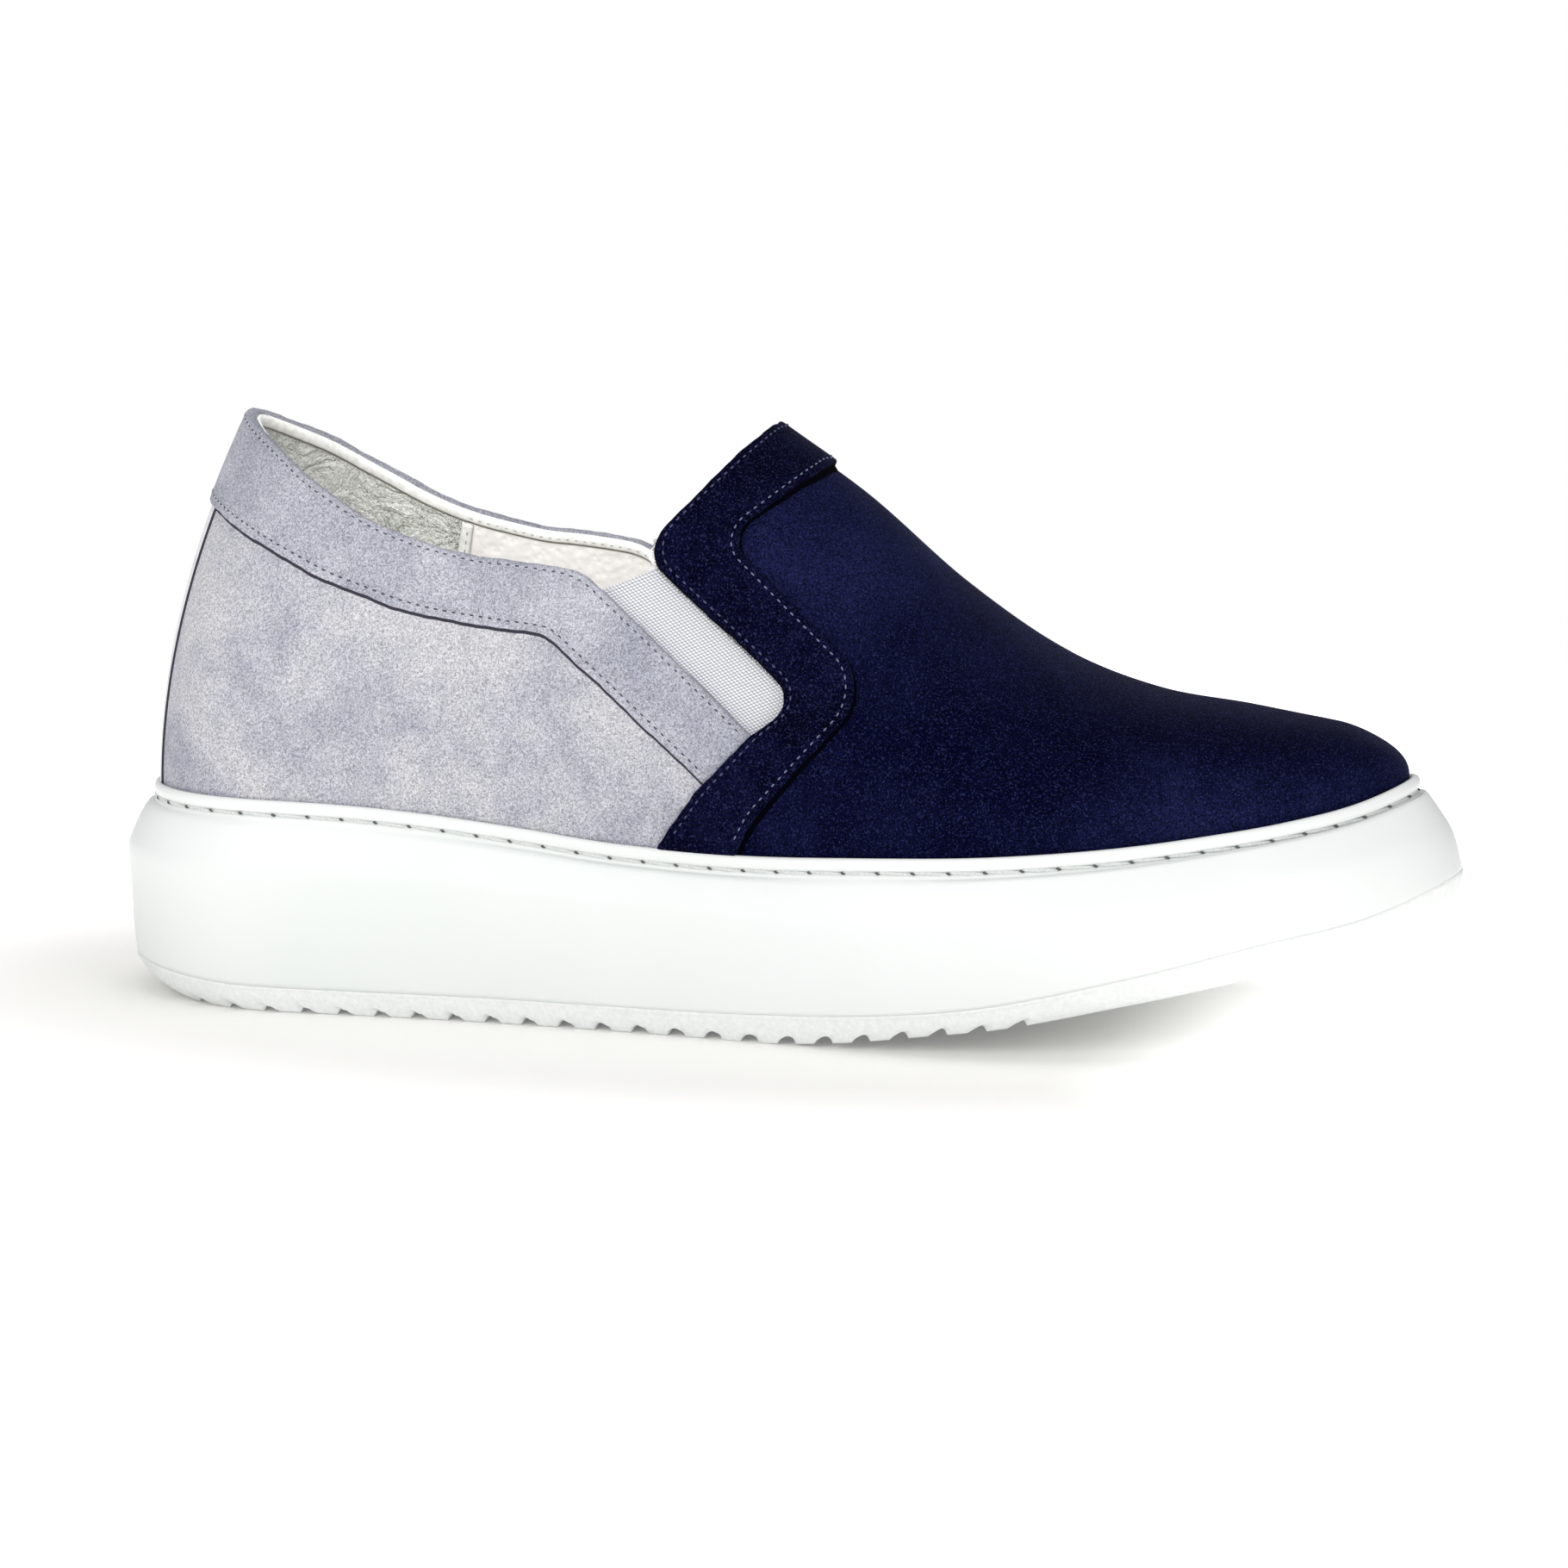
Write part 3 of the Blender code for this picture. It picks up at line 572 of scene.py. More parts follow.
def grid_piece(name, grid, material, uv=None, out=0, sharp=None, edge=(0, 0), edge_shadow_look="grey_edge_painted_shadow"):
    """A piece whose mesh is a grid of points. Doubled points are merged. out is 1 for a skin that
    looks away from the foot and -1 for a lining that looks at it. edge tells how many of the
    first and the last rows of faces have the edge's second look, a dark line of painted shadow."""
    rows, columns = grid.shape[:2]
    faces = grid_faces(rows, columns)
    if out and faces_out(grid, faces) * out < 0:
        faces = faces[:, ::-1]
    mesh = bpy.data.meshes.new(name)
    mesh.from_pydata((grid.reshape(-1, 3) + MIDDLE).tolist(), [], faces.tolist())
    if uv is not None:
        layer = mesh.uv_layers.new(name="UVMap")
        layer.data.foreach_set("uv", uv.reshape(-1, 2)[faces.ravel()].ravel())
    if edge != (0, 0):
        row = np.repeat(np.arange(rows - 1), columns - 1)
        marked = (row < edge[0]) | (row >= rows - 1 - edge[1])
        mesh.polygons.foreach_set("material_index", marked.astype(np.int32))
    merge(mesh)
    made = placed(name, mesh)
    mesh.materials.append(material)
    mesh.shade_smooth()
    if edge != (0, 0):
        mesh.materials.append(LOOKS[edge_shadow_look])
    if sharp:
        mesh.set_sharp_from_angle(angle=math.radians(sharp))
    return made


def merge(mesh, distance=2e-6):
    work = bmesh.new()
    work.from_mesh(mesh)
    bmesh.ops.remove_doubles(work, verts=work.verts, dist=distance)
    bmesh.ops.dissolve_degenerate(work, edges=work.edges, dist=1e-7)
    work.to_mesh(mesh)
    work.free()


def thicken(piece, thickness):
    """Gives a sheet its wall, inwards, and keeps only the mesh."""
    solid = piece.modifiers.new("wall", "SOLIDIFY")
    solid.thickness = thickness
    solid.offset = -1.0
    solid.use_even_offset = False
    return settled(piece)


def settled(piece):
    """The piece with its modifiers made part of its mesh."""
    graph = bpy.context.evaluated_depsgraph_get()
    mesh = bpy.data.meshes.new_from_object(piece.evaluated_get(graph))
    piece.modifiers.clear()
    old = piece.data
    piece.data = mesh
    bpy.data.meshes.remove(old)
    mesh.name = piece.name
    return piece


def on_shoe(piece, slot, *nodes):
    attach(piece, "root")
    if nodes:
        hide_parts(*nodes)
    return piece


# Materials
def colour(red, green, blue):
    """Linear colour from 0 to 255 screen values."""
    made = []
    for value in (red, green, blue):
        v = value / 255
        made.append(v / 12.92 if v <= 0.04045 else ((v + 0.055) / 1.055) ** 2.4)
    return (*made, 1.0)


def feed(tree, value, socket):
    """Links an output to a socket, or sets the socket to a plain value."""
    if isinstance(value, bpy.types.NodeSocket):
        tree.links.new(value, socket)
    else:
        socket.default_value = value


class Finish:
    """A Principled material with short helpers for its nodes."""

    def __init__(self, name, base, roughness, specular=0.4):
        self.material = bpy.data.materials.new(name)
        self.material.use_nodes = True
        self.tree = self.material.node_tree
        self.shader = self.tree.nodes["Principled BSDF"]
        self.shader.inputs["Base Color"].default_value = base
        self.shader.inputs["Roughness"].default_value = roughness
        self.shader.inputs["Specular IOR Level"].default_value = specular
        self.place = self.node("ShaderNodeTexCoord").outputs["Object"]

    def node(self, kind, **values):
        made = self.tree.nodes.new(kind)
        for key, value in values.items():
            setattr(made, key, value)
        return made

    def link(self, source, target):
        self.tree.links.new(source, target)

    def noise(self, scale, detail=3.0, rough=0.55, distort=0.0):
        made = self.node("ShaderNodeTexNoise")
        made.inputs["Scale"].default_value = scale
        made.inputs["Detail"].default_value = detail
        made.inputs["Roughness"].default_value = rough
        made.inputs["Distortion"].default_value = distort
        self.link(self.place, made.inputs["Vector"])
        return made.outputs["Fac"]

    def cells(self, scale, feature="F1"):
        made = self.node("ShaderNodeTexVoronoi", feature=feature)
        made.inputs["Scale"].default_value = scale
        self.link(self.place, made.inputs["Vector"])
        return made.outputs["Distance"]

    def ramp(self, value, *stops):
        made = self.node("ShaderNodeValToRGB")
        elements = made.color_ramp.elements
        while len(elements) < len(stops):
            elements.new(0.5)
        for element, (place, shade) in zip(elements, stops):
            element.position = place
            element.color = shade if isinstance(shade, tuple) else (shade, shade, shade, 1.0)
        self.link(value, made.inputs["Fac"])
        return made.outputs["Color"]

    def mix(self, kind, share, first, second):
        made = self.node("ShaderNodeMix", data_type="RGBA", blend_type=kind)
        for socket, value in ((made.inputs[0], share), (made.inputs[6], first), (made.inputs[7], second)):
            feed(self.tree, value, socket)
        return made.outputs[2]

    def maths(self, kind, first, second=0.0, third=0.0):
        made = self.node("ShaderNodeMath", operation=kind)
        for socket, value in zip(made.inputs, (first, second, third)):
            feed(self.tree, value, socket)
        return made.outputs[0]

    def bump(self, value, strength, distance, below=None):
        made = self.node("ShaderNodeBump")
        made.inputs["Strength"].default_value = strength
        made.inputs["Distance"].default_value = distance
        self.link(value, made.inputs["Height"])
        if below is not None:
            self.link(below, made.inputs["Normal"])
        return made.outputs["Normal"]

    def axes(self, place):
        """The three outputs of a place."""
        made = self.node("ShaderNodeSeparateXYZ")
        self.link(place, made.inputs["Vector"])
        return made.outputs

    def span(self, value, start, end, level=1.0):
        """Rises smoothly from 0 at the start to a level at the end."""
        made = self.node("ShaderNodeMapRange", interpolation_type="SMOOTHSTEP")
        made.inputs["From Min"].default_value = start
        made.inputs["From Max"].default_value = end
        made.inputs["To Max"].default_value = level
        self.link(value, made.inputs["Value"])
        return made.outputs["Result"]

    def set(self, **sockets):
        for name, value in sockets.items():
            feed(self.tree, value, self.shader.inputs[name.replace("_", " ")])
        return self.material


def suede(name, *values, creases, nap):
    """Napped leather: big clouds where the nap lies over, fine grain, pale fibre ends, soft sheen."""
    dark, mid, light, speck = (colour(*shade) for shade in values[:4])
    cloud_scale, grit_push, speck_share, sheen = values[4:8]
    tint = colour(*values[8])
    made = Finish(name, mid, 0.95, 0.03)
    clouds = made.noise(cloud_scale, 3.0, 0.55, 0.6)
    strokes = made.noise(cloud_scale * 6, 3.0, 0.6, 0.3)
    mottle = made.maths("ADD", made.maths("MULTIPLY", clouds, 0.68), made.maths("MULTIPLY", strokes, 0.32))
    base = made.ramp(mottle, (0.38, dark), (0.50, mid), (0.61, light))
    if nap:
        # Navy vamp only: lighter over the instep and low at the toe, partly the nap's lie and partly
        # painted light.
        base = made.mix("MIX", nap_and_painted_light(made), base, NAP_AND_PAINTED_LIGHT_COLOUR)
    fine = made.noise(3400.0, 1.0, 0.6)
    coarse = made.noise(1700.0, 2.0, 0.6)
    grit = made.maths("ADD", made.maths("MULTIPLY", fine, 0.5), made.maths("MULTIPLY", coarse, 0.5))
    base = made.mix("OVERLAY", grit_push, base, made.ramp(grit, (0.36, 0.0), (0.50, 0.48), (0.64, 1.0)))
    spots = made.ramp(made.noise(2200.0, 2.0, 0.7), (0.55, 0.0), (0.66, 1.0))
    base = made.mix("MIX", made.maths("MULTIPLY", spots, speck_share), base, speck)
    normal = made.bump(coarse, 0.30, 0.0005)
    normal = made.bump(fine, 0.30, 0.0003, normal)
    if creases:
        folds = made.noise(150.0, 4.0, 0.6, 1.5)
        normal = made.bump(folds, 0.7, 0.0035, normal)
    made.set(Sheen_Weight=sheen, Sheen_Roughness=0.25, Sheen_Tint=tint)
    return made.set(Base_Color=base, Normal=normal)


# The vamp's lighter colour, partly the nap's lie and partly painted light, and where it starts and is
# full: instep, toe, low on the side
NAP_AND_PAINTED_LIGHT_COLOUR = colour(27, 31, 68)
SPANS_OF_NAP_AND_PAINTED_LIGHT = (("Z", 0.066, 0.100), ("X", 0.055, 0.105), ("Z", 0.066, 0.050))


def nap_and_painted_light(made):
    """Where the vamp looks lighter, partly for the nap's lie and partly as painted light on the top and a
    painted sheen low at the toe: over the instep and low at the toe.
    """
    axes = made.axes(made.place)
    instep, toe, low = (made.span(axes[axis], start, end) for axis, start, end in SPANS_OF_NAP_AND_PAINTED_LIGHT)
    lit = made.maths("MAXIMUM", instep, made.maths("MULTIPLY", toe, low))
    patches = made.ramp(made.noise(34.0, 3.0, 0.6, 0.5), (0.36, 0.15), (0.62, 0.75))
    return made.maths("MULTIPLY", lit, made.maths("MULTIPLY", patches, 0.75))


# Suedes: name; colours of lying, even and raised nap and of pale fibre ends; scale of the clouds,
# push of the grit, share of pale ends, sheen; colour of the sheen
SUEDES = {
    "grey": (
        "grey_suede", (160, 161, 173), (178, 178, 186), (190, 189, 194), (218, 219, 224),
        27.0, 0.40, 0.36, 0.06, (235, 236, 242),
    ),
    "band": (
        "band_suede", (152, 154, 166), (165, 166, 177), (177, 178, 188), (208, 210, 219),
        42.0, 0.42, 0.35, 0.06, (225, 228, 240),
    ),
    "pale": (
        "pale_suede", (212, 213, 216), (222, 222, 225), (230, 230, 232), (240, 240, 242),
        60.0, 0.25, 0.3, 0.06, (240, 240, 242),
    ),
    "navy": (
        "navy_suede", (1, 1, 26), (4, 5, 32), (11, 13, 44), (58, 66, 116),
        20.0, 0.80, 0.36, 0.16, (150, 155, 185),
    ),
    "strip": (
        "strip_suede", (1, 1, 19), (3, 4, 28), (9, 11, 40), (62, 66, 112),
        34.0, 0.80, 0.40, 0.14, (150, 155, 185),
    ),
    "grip": (
        "heel_grip_suede", (190, 193, 187), (210, 212, 207), (222, 223, 218), (242, 243, 239),
        120.0, 0.60, 0.4, 0.04, (230, 232, 226),
    ),
}


def make_materials():
    looks = {key: suede(*row, creases=key == "grip", nap=key == "navy") for key, row in SUEDES.items()}
    looks["lining"] = lining_leather()
    looks["edge"] = edge_leather()
    looks["footbed"] = footbed_leather()
    looks["elastic"] = elastic_weave()
    looks["rubber"] = white_rubber()
    looks["tread"] = tread_rubber()
    # The sole thread's pale colour is greyed a little as painted shade of the groove it lies in.
    for key, name, shade in (
        ("thread_grey", "grey_thread", (186, 188, 196)),
        ("thread_blue", "pale_blue_thread", (108, 113, 148)),
        ("thread_navy", "navy_thread", (64, 68, 104)),
        ("thread_sole_with_shade", "sole_thread", (214, 217, 216)),
    ):
        looks[key] = thread(name, colour(*shade))
    # Flat dark looks of painted shade: needle holes, and the dark lines of painted shadow under cut edges;
    # the navy one also colours the loose fibres.
    for key, name, shade in (
        ("hole", "sole_painted_hole_shade", (92, 95, 94)),
        ("band_hole_shade", "band_painted_hole_shade", (72, 73, 86)),
        ("lining_hole_and_edge_shade", "lining_needle_hole", (168, 164, 157)),
        ("grey_edge_painted_shadow", "grey_painted_edge_shadow", (62, 60, 72)),
        ("navy_edge_shadow_and_fibres", "navy_painted_edge_shadow_and_fibres", (2, 2, 9)),
    ):
        looks[key] = Finish(name, colour(*shade), 0.95, 0.03).material
    return looks


def lining_leather():
    made = Finish("lining_leather", colour(238, 234, 229), 0.5, 0.35)
    pebble = made.cells(620.0, "SMOOTH_F1")
    clouds = made.noise(30.0, 3.0)
    base = made.ramp(clouds, (0.35, colour(244, 240, 237)), (0.65, colour(249, 248, 246)))
    base = made.mix("MULTIPLY", 0.30, base, made.ramp(pebble, (0.1, 1.0), (0.6, 0.80)))
    normal = made.bump(pebble, 0.6, 0.0006)
    normal = made.bump(made.noise(1800.0, 2.0), 0.2, 0.0002, normal)
    return made.set(Base_Color=base, Normal=normal)


def edge_leather():
    made = Finish("edge_leather", colour(242, 241, 237), 0.6, 0.3)
    fibres = made.noise(700.0, 2.0, 0.5)
    base = made.ramp(fibres, (0.35, colour(222, 222, 217)), (0.6, colour(238, 238, 235)))
    return made.set(Base_Color=base, Normal=made.bump(fibres, 0.35, 0.0003))


def footbed_leather():
    made = Finish("footbed_leather", colour(206, 200, 190), 0.55, 0.35)
    clouds = made.noise(24.0, 3.0)
    base = made.ramp(clouds, (0.35, colour(200, 193, 183)), (0.65, colour(216, 210, 201)))
    pores = made.cells(1400.0)
    base = made.mix("MULTIPLY", 0.3, base, made.ramp(pores, (0.05, 0.6), (0.3, 1.0)))
    return made.set(Base_Color=base, Normal=made.bump(pores, 0.3, 0.0002))


# Distance between the elastic's threads, across and along the gusset
ELASTIC_PITCHES = (0.00078, 0.00070)


def elastic_weave():
    """Ribs along and across the gusset, on its own map in metres."""
    made = Finish("elastic_weave", colour(226, 227, 230), 0.75, 0.25)
    axes = made.axes(made.node("ShaderNodeUVMap").outputs["UV"])
    ribs = []
    for axis, pitch in enumerate(ELASTIC_PITCHES):
        wave = made.maths("SINE", made.maths("MULTIPLY", axes[axis], 2 * math.pi / pitch))
        rib = made.maths("MULTIPLY_ADD", wave, 0.5, 0.5)
        ribs.append(made.maths("POWER", rib, 0.45))
    weave = made.maths("MULTIPLY", *ribs)
    shades = (0.12, colour(160, 163, 172)), (0.52, colour(228, 229, 233)), (0.85, colour(243, 244, 247))
    base = made.ramp(weave, *shades)
    base = made.mix("MULTIPLY", 0.20, base, made.ramp(made.noise(900.0, 2.0), (0.3, 0.8), (0.7, 1.0)))
    normal = made.bump(weave, 0.7, 0.00022)
    return made.set(Base_Color=base, Normal=normal, Sheen_Weight=0.15)


def white_rubber():
    made = Finish("white_rubber", colour(228, 232, 230), 0.42, 0.4)
    clouds = made.noise(14.0, 2.0)
    base = made.ramp(clouds, (0.3, colour(226, 230, 228)), (0.7, colour(230, 233, 232)))
    fine = made.noise(700.0, 2.0)
    rough = made.maths("MULTIPLY_ADD", made.noise(60.0, 3.0), 0.12, 0.36)
    return made.set(Base_Color=base, Roughness=rough, Normal=made.bump(fine, 0.05, 0.0002))


def tread_rubber():
    made = Finish("tread_rubber", colour(230, 233, 231), 0.6, 0.3)
    grains = made.cells(1500.0, "SMOOTH_F1")
    fine = made.noise(2200.0, 2.0, 0.6)
    base = made.ramp(made.noise(900.0, 2.0), (0.3, colour(225, 228, 226)), (0.7, colour(235, 237, 236)))
    normal = made.bump(grains, 0.35, 0.0003)
    return made.set(Base_Color=base, Normal=made.bump(fine, 0.25, 0.0002, normal))


def thread(name, shade):
    made = Finish(name, shade, 0.7, 0.3)
    twist = made.noise(2600.0, 1.0)
    base = made.mix("MULTIPLY", 0.4, shade, made.ramp(twist, (0.35, 0.55), (0.6, 1.0)))
    return made.set(Base_Color=base, Sheen_Weight=0.2)


LOOKS = make_materials()


# Lines of the panels
RIM = Line(curve_then_corners(COLLAR_RIM, RIM_CORNERS))
FOOT = Line(curve_then_corners(BAND_FOOT, BAND_FOOT_CORNERS))
THROAT = Line(rounded(THROAT_CORNERS))
STRIP_REAR = Line(np.concatenate([rounded(STRIP_REAR_CORNERS), rounded(THROAT_CORNERS)[1:]]))
STRIP_FRONT = Line(rounded(STRIP_FRONT_CORNERS))


# Sections of the sewn strips: in from the edge, out of the upper's form. The first rows of each
# section, and on the navy strip also its last rows, hold a dark line of painted shadow.
BAND_LOW_EDGE = (
    (-0.00078, -0.00010), (-0.00074, 0.00016), (-0.00012, 0.00030), (0.00000, 0.00055),
    (0.00003, 0.00115), (0.00014, 0.00142), (0.00040, 0.00150), (0.00110, 0.00150),
)
BAND_HIGH_EDGE = (
    (0.00110, 0.00150), (0.00050, 0.00140), (0.00015, 0.00115), (0.00000, 0.00070),
    (-0.00005, 0.00010), (0.00000, -0.00070), (0.00040, -0.00140), (0.00120, -0.00170),
)
STRIP_LOW_EDGE = (
    (-0.00085, -0.00060), (-0.00082, 0.00010), (-0.00040, 0.00065), (-0.00005, 0.00110),
    (0.00010, 0.00145), (0.00040, 0.00168), (0.00110, 0.00180),
)
STRIP_HIGH_EDGE = (
    (0.00110, 0.00180), (0.00040, 0.00176), (0.00010, 0.00158), (0.00000, 0.00120),
    (-0.00002, 0.00060), (-0.00070, 0.00030), (-0.00120, 0.00010), (-0.00125, -0.00030),
)


def looking_down(panel):
    """How much the panel's low edge and high edge look down: 1 where they throw a shadow."""
    corners = form_at(panel.u, panel.across)
    away = (corners[0] - corners[1]) / panel.width[:, None]
    return np.clip(0.45 - away[:, 2] * 1.1, 0.05, 1.0), np.clip(0.45 + away[:, 2] * 1.1, 0.05, 1.0)


def strip_grid(panel, low_edge, high_edge, middle_rows, sink, seed, ragged=0.00012):
    """Grid of points of a sewn strip. sink gives the share of the height that is left at a place."""
    made = []
    low, high = wander(panel.run, ragged, seed), wander(panel.run, ragged, seed + 2.3)
    low_shade, high_shade = looking_down(panel)
    # Rows beyond an edge hold its painted shadow, narrower where the edge does not look down.
    for at, offset in low_edge:
        places = panel.shares((at * low_shade if at < 0 else at) + low)
        made.append(skin(*places, offset * sink(*places)))
    for share in np.linspace(0, 1, middle_rows + 2)[1:-1]:
        places = panel.shares(0.0015 + (panel.width - 0.0030) * share)
        made.append(skin(*places, low_edge[-1][1] * sink(*places)))
    for at, offset in high_edge:
        places = panel.shares(0.0, (at * high_shade if at < 0 else at) + high)
        made.append(skin(*places, offset * sink(*places)))
    return np.stack(made)


def ahead_of_strip(u, across):
    """Metres from a place forward to the navy strip's rear edge, less than 0 under the strip."""
    arch = arch_of(across)
    return (np.interp(arch, STRIP_REAR.arch, STRIP_REAR.u) - u) * REACH


def step_up(value, start, end):
    share = np.clip((value - start) / (end - start), 0, 1)
    return share * share * (3 - 2 * share)


def band_sink(u, across):
    """The band dives under the navy strip."""
    return 0.25 + 0.75 * step_up(ahead_of_strip(u, across), -0.0006, 0.0016)


def strip_sink(u, across):
    """The navy strip thins out where it goes down into the sole's cup."""
    arch = arch_of(across)
    return 0.10 + 0.90 * step_up(arch, -0.10, 0.03)


def strip_uv(panel, grid):
    """A map in metres: along the panel, and across it."""
    across = np.linalg.norm(np.diff(grid, axis=0), axis=-1)
    across = np.concatenate([np.zeros((1, across.shape[1])), np.cumsum(across, axis=0)])
    return np.stack([np.broadcast_to(panel.run, across.shape), across], axis=-1)


# Stitches: one short thread set on each point, by a node tree
def stitch_tree(name, material):
    """Node tree that sets a rounded thread on each point, along its run and out of its surface."""
    tree = bpy.data.node_groups.new(name, "GeometryNodeTree")
    face = tree.interface
    face.new_socket("Geometry", in_out="INPUT", socket_type="NodeSocketGeometry")
    sizes = {}
    for label in ("Length", "Thickness"):
        socket = face.new_socket(label, in_out="INPUT", socket_type="NodeSocketFloat")
        sizes[label] = socket.identifier
    face.new_socket("Geometry", in_out="OUTPUT", socket_type="NodeSocketGeometry")
    add = tree.nodes.new

    def join(source, output, target, socket):
        tree.links.new(source.outputs[output], target.inputs[socket])

    group_in, group_out = add("NodeGroupInput"), add("NodeGroupOutput")
    thread_shape = add("GeometryNodeMeshUVSphere")
    thread_shape.inputs["Segments"].default_value = 8
    thread_shape.inputs["Rings"].default_value = 6
    thread_shape.inputs["Radius"].default_value = 0.5
    size = add("ShaderNodeCombineXYZ")
    for label, axis in (("Length", "X"), ("Thickness", "Y"), ("Thickness", "Z")):
        join(group_in, label, size, axis)
    shaped = add("GeometryNodeTransform")
    join(thread_shape, "Mesh", shaped, "Geometry")
    join(size, "Vector", shaped, "Scale")
    turns = []
    for axis, label in (("X", "run"), ("Z", "out")):
        named = add("GeometryNodeInputNamedAttribute")
        named.data_type = "FLOAT_VECTOR"
        named.inputs["Name"].default_value = label
        turn = add("FunctionNodeAlignRotationToVector")
        turn.axis = axis
        if turns:
            turn.pivot_axis = "X"
            join(turns[-1], "Rotation", turn, "Rotation")
        join(named, "Attribute", turn, "Vector")
        turns.append(turn)
    points = add("GeometryNodeInstanceOnPoints")
    join(group_in, "Geometry", points, "Points")
    join(shaped, "Geometry", points, "Instance")
    join(turns[-1], "Rotation", points, "Rotation")
    real = add("GeometryNodeRealizeInstances")
    join(points, "Instances", real, "Geometry")
    paint = add("GeometryNodeSetMaterial")
    paint.inputs["Material"].default_value = material
    join(real, "Geometry", paint, "Geometry")
    join(paint, "Geometry", group_out, "Geometry")
    return tree, sizes


def sewn_points(points, normals, pitch):
    """Places, runs and outward directions at an even pitch along a row."""
    run = run_along(points)
    count = int(run[-1] / pitch)
    at = (run[-1] - (count - 1) * pitch) / 2 + np.arange(count) * pitch
    reads = ((at, points), (at, normals), (at + pitch / 3, points), (at - pitch / 3, points))
    spots, outs, ahead, behind = (
        np.stack([np.interp(where, run, values[:, axis]) for axis in range(3)], axis=1)
        for where, values in reads
    )
    runs = ahead - behind
    runs /= np.linalg.norm(runs, axis=1, keepdims=True)
    outs /= np.linalg.norm(outs, axis=1, keepdims=True)
    return spots, runs, outs


def stitches(name, rows, material, size, slant=0.0):
    """One mesh of all the stitches of some rows. size is their length and thickness."""
    spots, runs, outs = (np.concatenate(part) for part in zip(*rows))
    if slant:
        sideways = np.cross(outs, runs)
        runs = runs * math.cos(slant) + sideways * math.sin(slant)
    mesh = bpy.data.meshes.new(name + "_points")
    mesh.from_pydata((spots + MIDDLE).tolist(), [], [])
    for label, values in (("run", runs), ("out", outs)):
        layer = mesh.attributes.new(label, "FLOAT_VECTOR", "POINT")
        layer.data.foreach_set("vector", values.ravel())
    made = placed(name, mesh)
    tree, sizes = stitch_tree(name, material)
    nodes = made.modifiers.new("stitches", "NODES")
    nodes.node_group = tree
    nodes[sizes["Length"]], nodes[sizes["Thickness"]] = size
    settled(made)
    made.data.shade_smooth()
    return made


def behind_strip(panel, top, *insets):
    """Points and normals of a stitch row, without its ends under the navy strip."""
    seen = ahead_of_strip(*panel.shares(*insets)) > 0.0016
    return panel.place(top, *insets)[seen], panel.normals(*insets)[seen]


def build_band():
    """The grey strip round the collar, and its two rows of stitches."""
    steps = (130, 60)
    low = paired(FOOT, [BAND_FOOT_CORNERS[0][:2]], steps)
    high = paired(RIM, [RIM_CORNERS[0][:2]], steps)
    panel = Panel(low, high, mirrored)
    grid = strip_grid(panel, BAND_LOW_EDGE, BAND_HIGH_EDGE, 10, band_sink, 1.0, 0.00022)
    uv = strip_uv(panel, grid)
    # The first rows of faces hold the painted shadow under the band's low edge.
    band = grid_piece("collar_band_suede", grid, LOOKS["band"], uv, out=1, edge=(3, 0))
    on_shoe(thicken(band, TRIM_THICKNESS), "band_suede", "collar_band")
    # The needle holes are dark marks of painted shade, with the grey threads between them.
    holes = [sewn_points(*behind_strip(panel, *row), SEWN_PITCH) for row in BAND_ROWS]
    threads = [(spots + runs * SEWN_PITCH / 2, runs, outs) for spots, runs, outs in holes]
    on_shoe(stitches("band_needle_holes", holes, LOOKS["band_hole_shade"], BAND_HOLE), "band_suede")
    on_shoe(stitches("band_stitches", threads, LOOKS["thread_grey"], BAND_THREAD), "band_suede")


def over_the_lip(panel, top, *insets):
    """Points and normals of a stitch row, without its ends down in the sole's cup."""
    seen = arch_of(panel.shares(*insets)[1]) > 0.015
    return panel.place(top, *insets)[seen], panel.normals(*insets)[seen]


def build_strip():
    """The navy strip from the sole over the instep to the sole, and its stitches."""
    steps = (44, 40, 60, 50)
    rear_corners = (STRIP_REAR_CORNERS[1], *THROAT_CORNERS[1:3])
    low = paired(STRIP_REAR, [corner[:2] for corner in rear_corners], steps)
    high = paired(STRIP_FRONT, [corner[:2] for corner in STRIP_FRONT_CORNERS[1:4]], steps)
    panel = Panel(low, high, over_crest)
    grid = strip_grid(panel, STRIP_LOW_EDGE, STRIP_HIGH_EDGE, 10, strip_sink, 4.0, 0.00025)
    uv = strip_uv(panel, grid)
    # The first and last rows of faces hold the painted shadow along the strip's edges.
    strip = grid_piece(
        "vamp_strip_suede", grid, LOOKS["strip"], uv, out=1, edge=(3, 4), edge_shadow_look="navy_edge_shadow_and_fibres"
    )
    on_shoe(thicken(strip, TRIM_THICKNESS), "strip_suede", "vamp_strip")
    for name, look, size, row in (
        ("strip_rear_stitches", "thread_navy", STRIP_REAR_THREAD, STRIP_REAR_ROW),
        ("strip_front_stitches", "thread_blue", STRIP_FRONT_THREAD, STRIP_FRONT_ROW),
    ):
        threads = sewn_points(*over_the_lip(panel, *row), SEWN_PITCH)
        on_shoe(stitches(name, [threads], LOOKS[look], size), "strip_suede")
    build_strip_fuzz(panel)


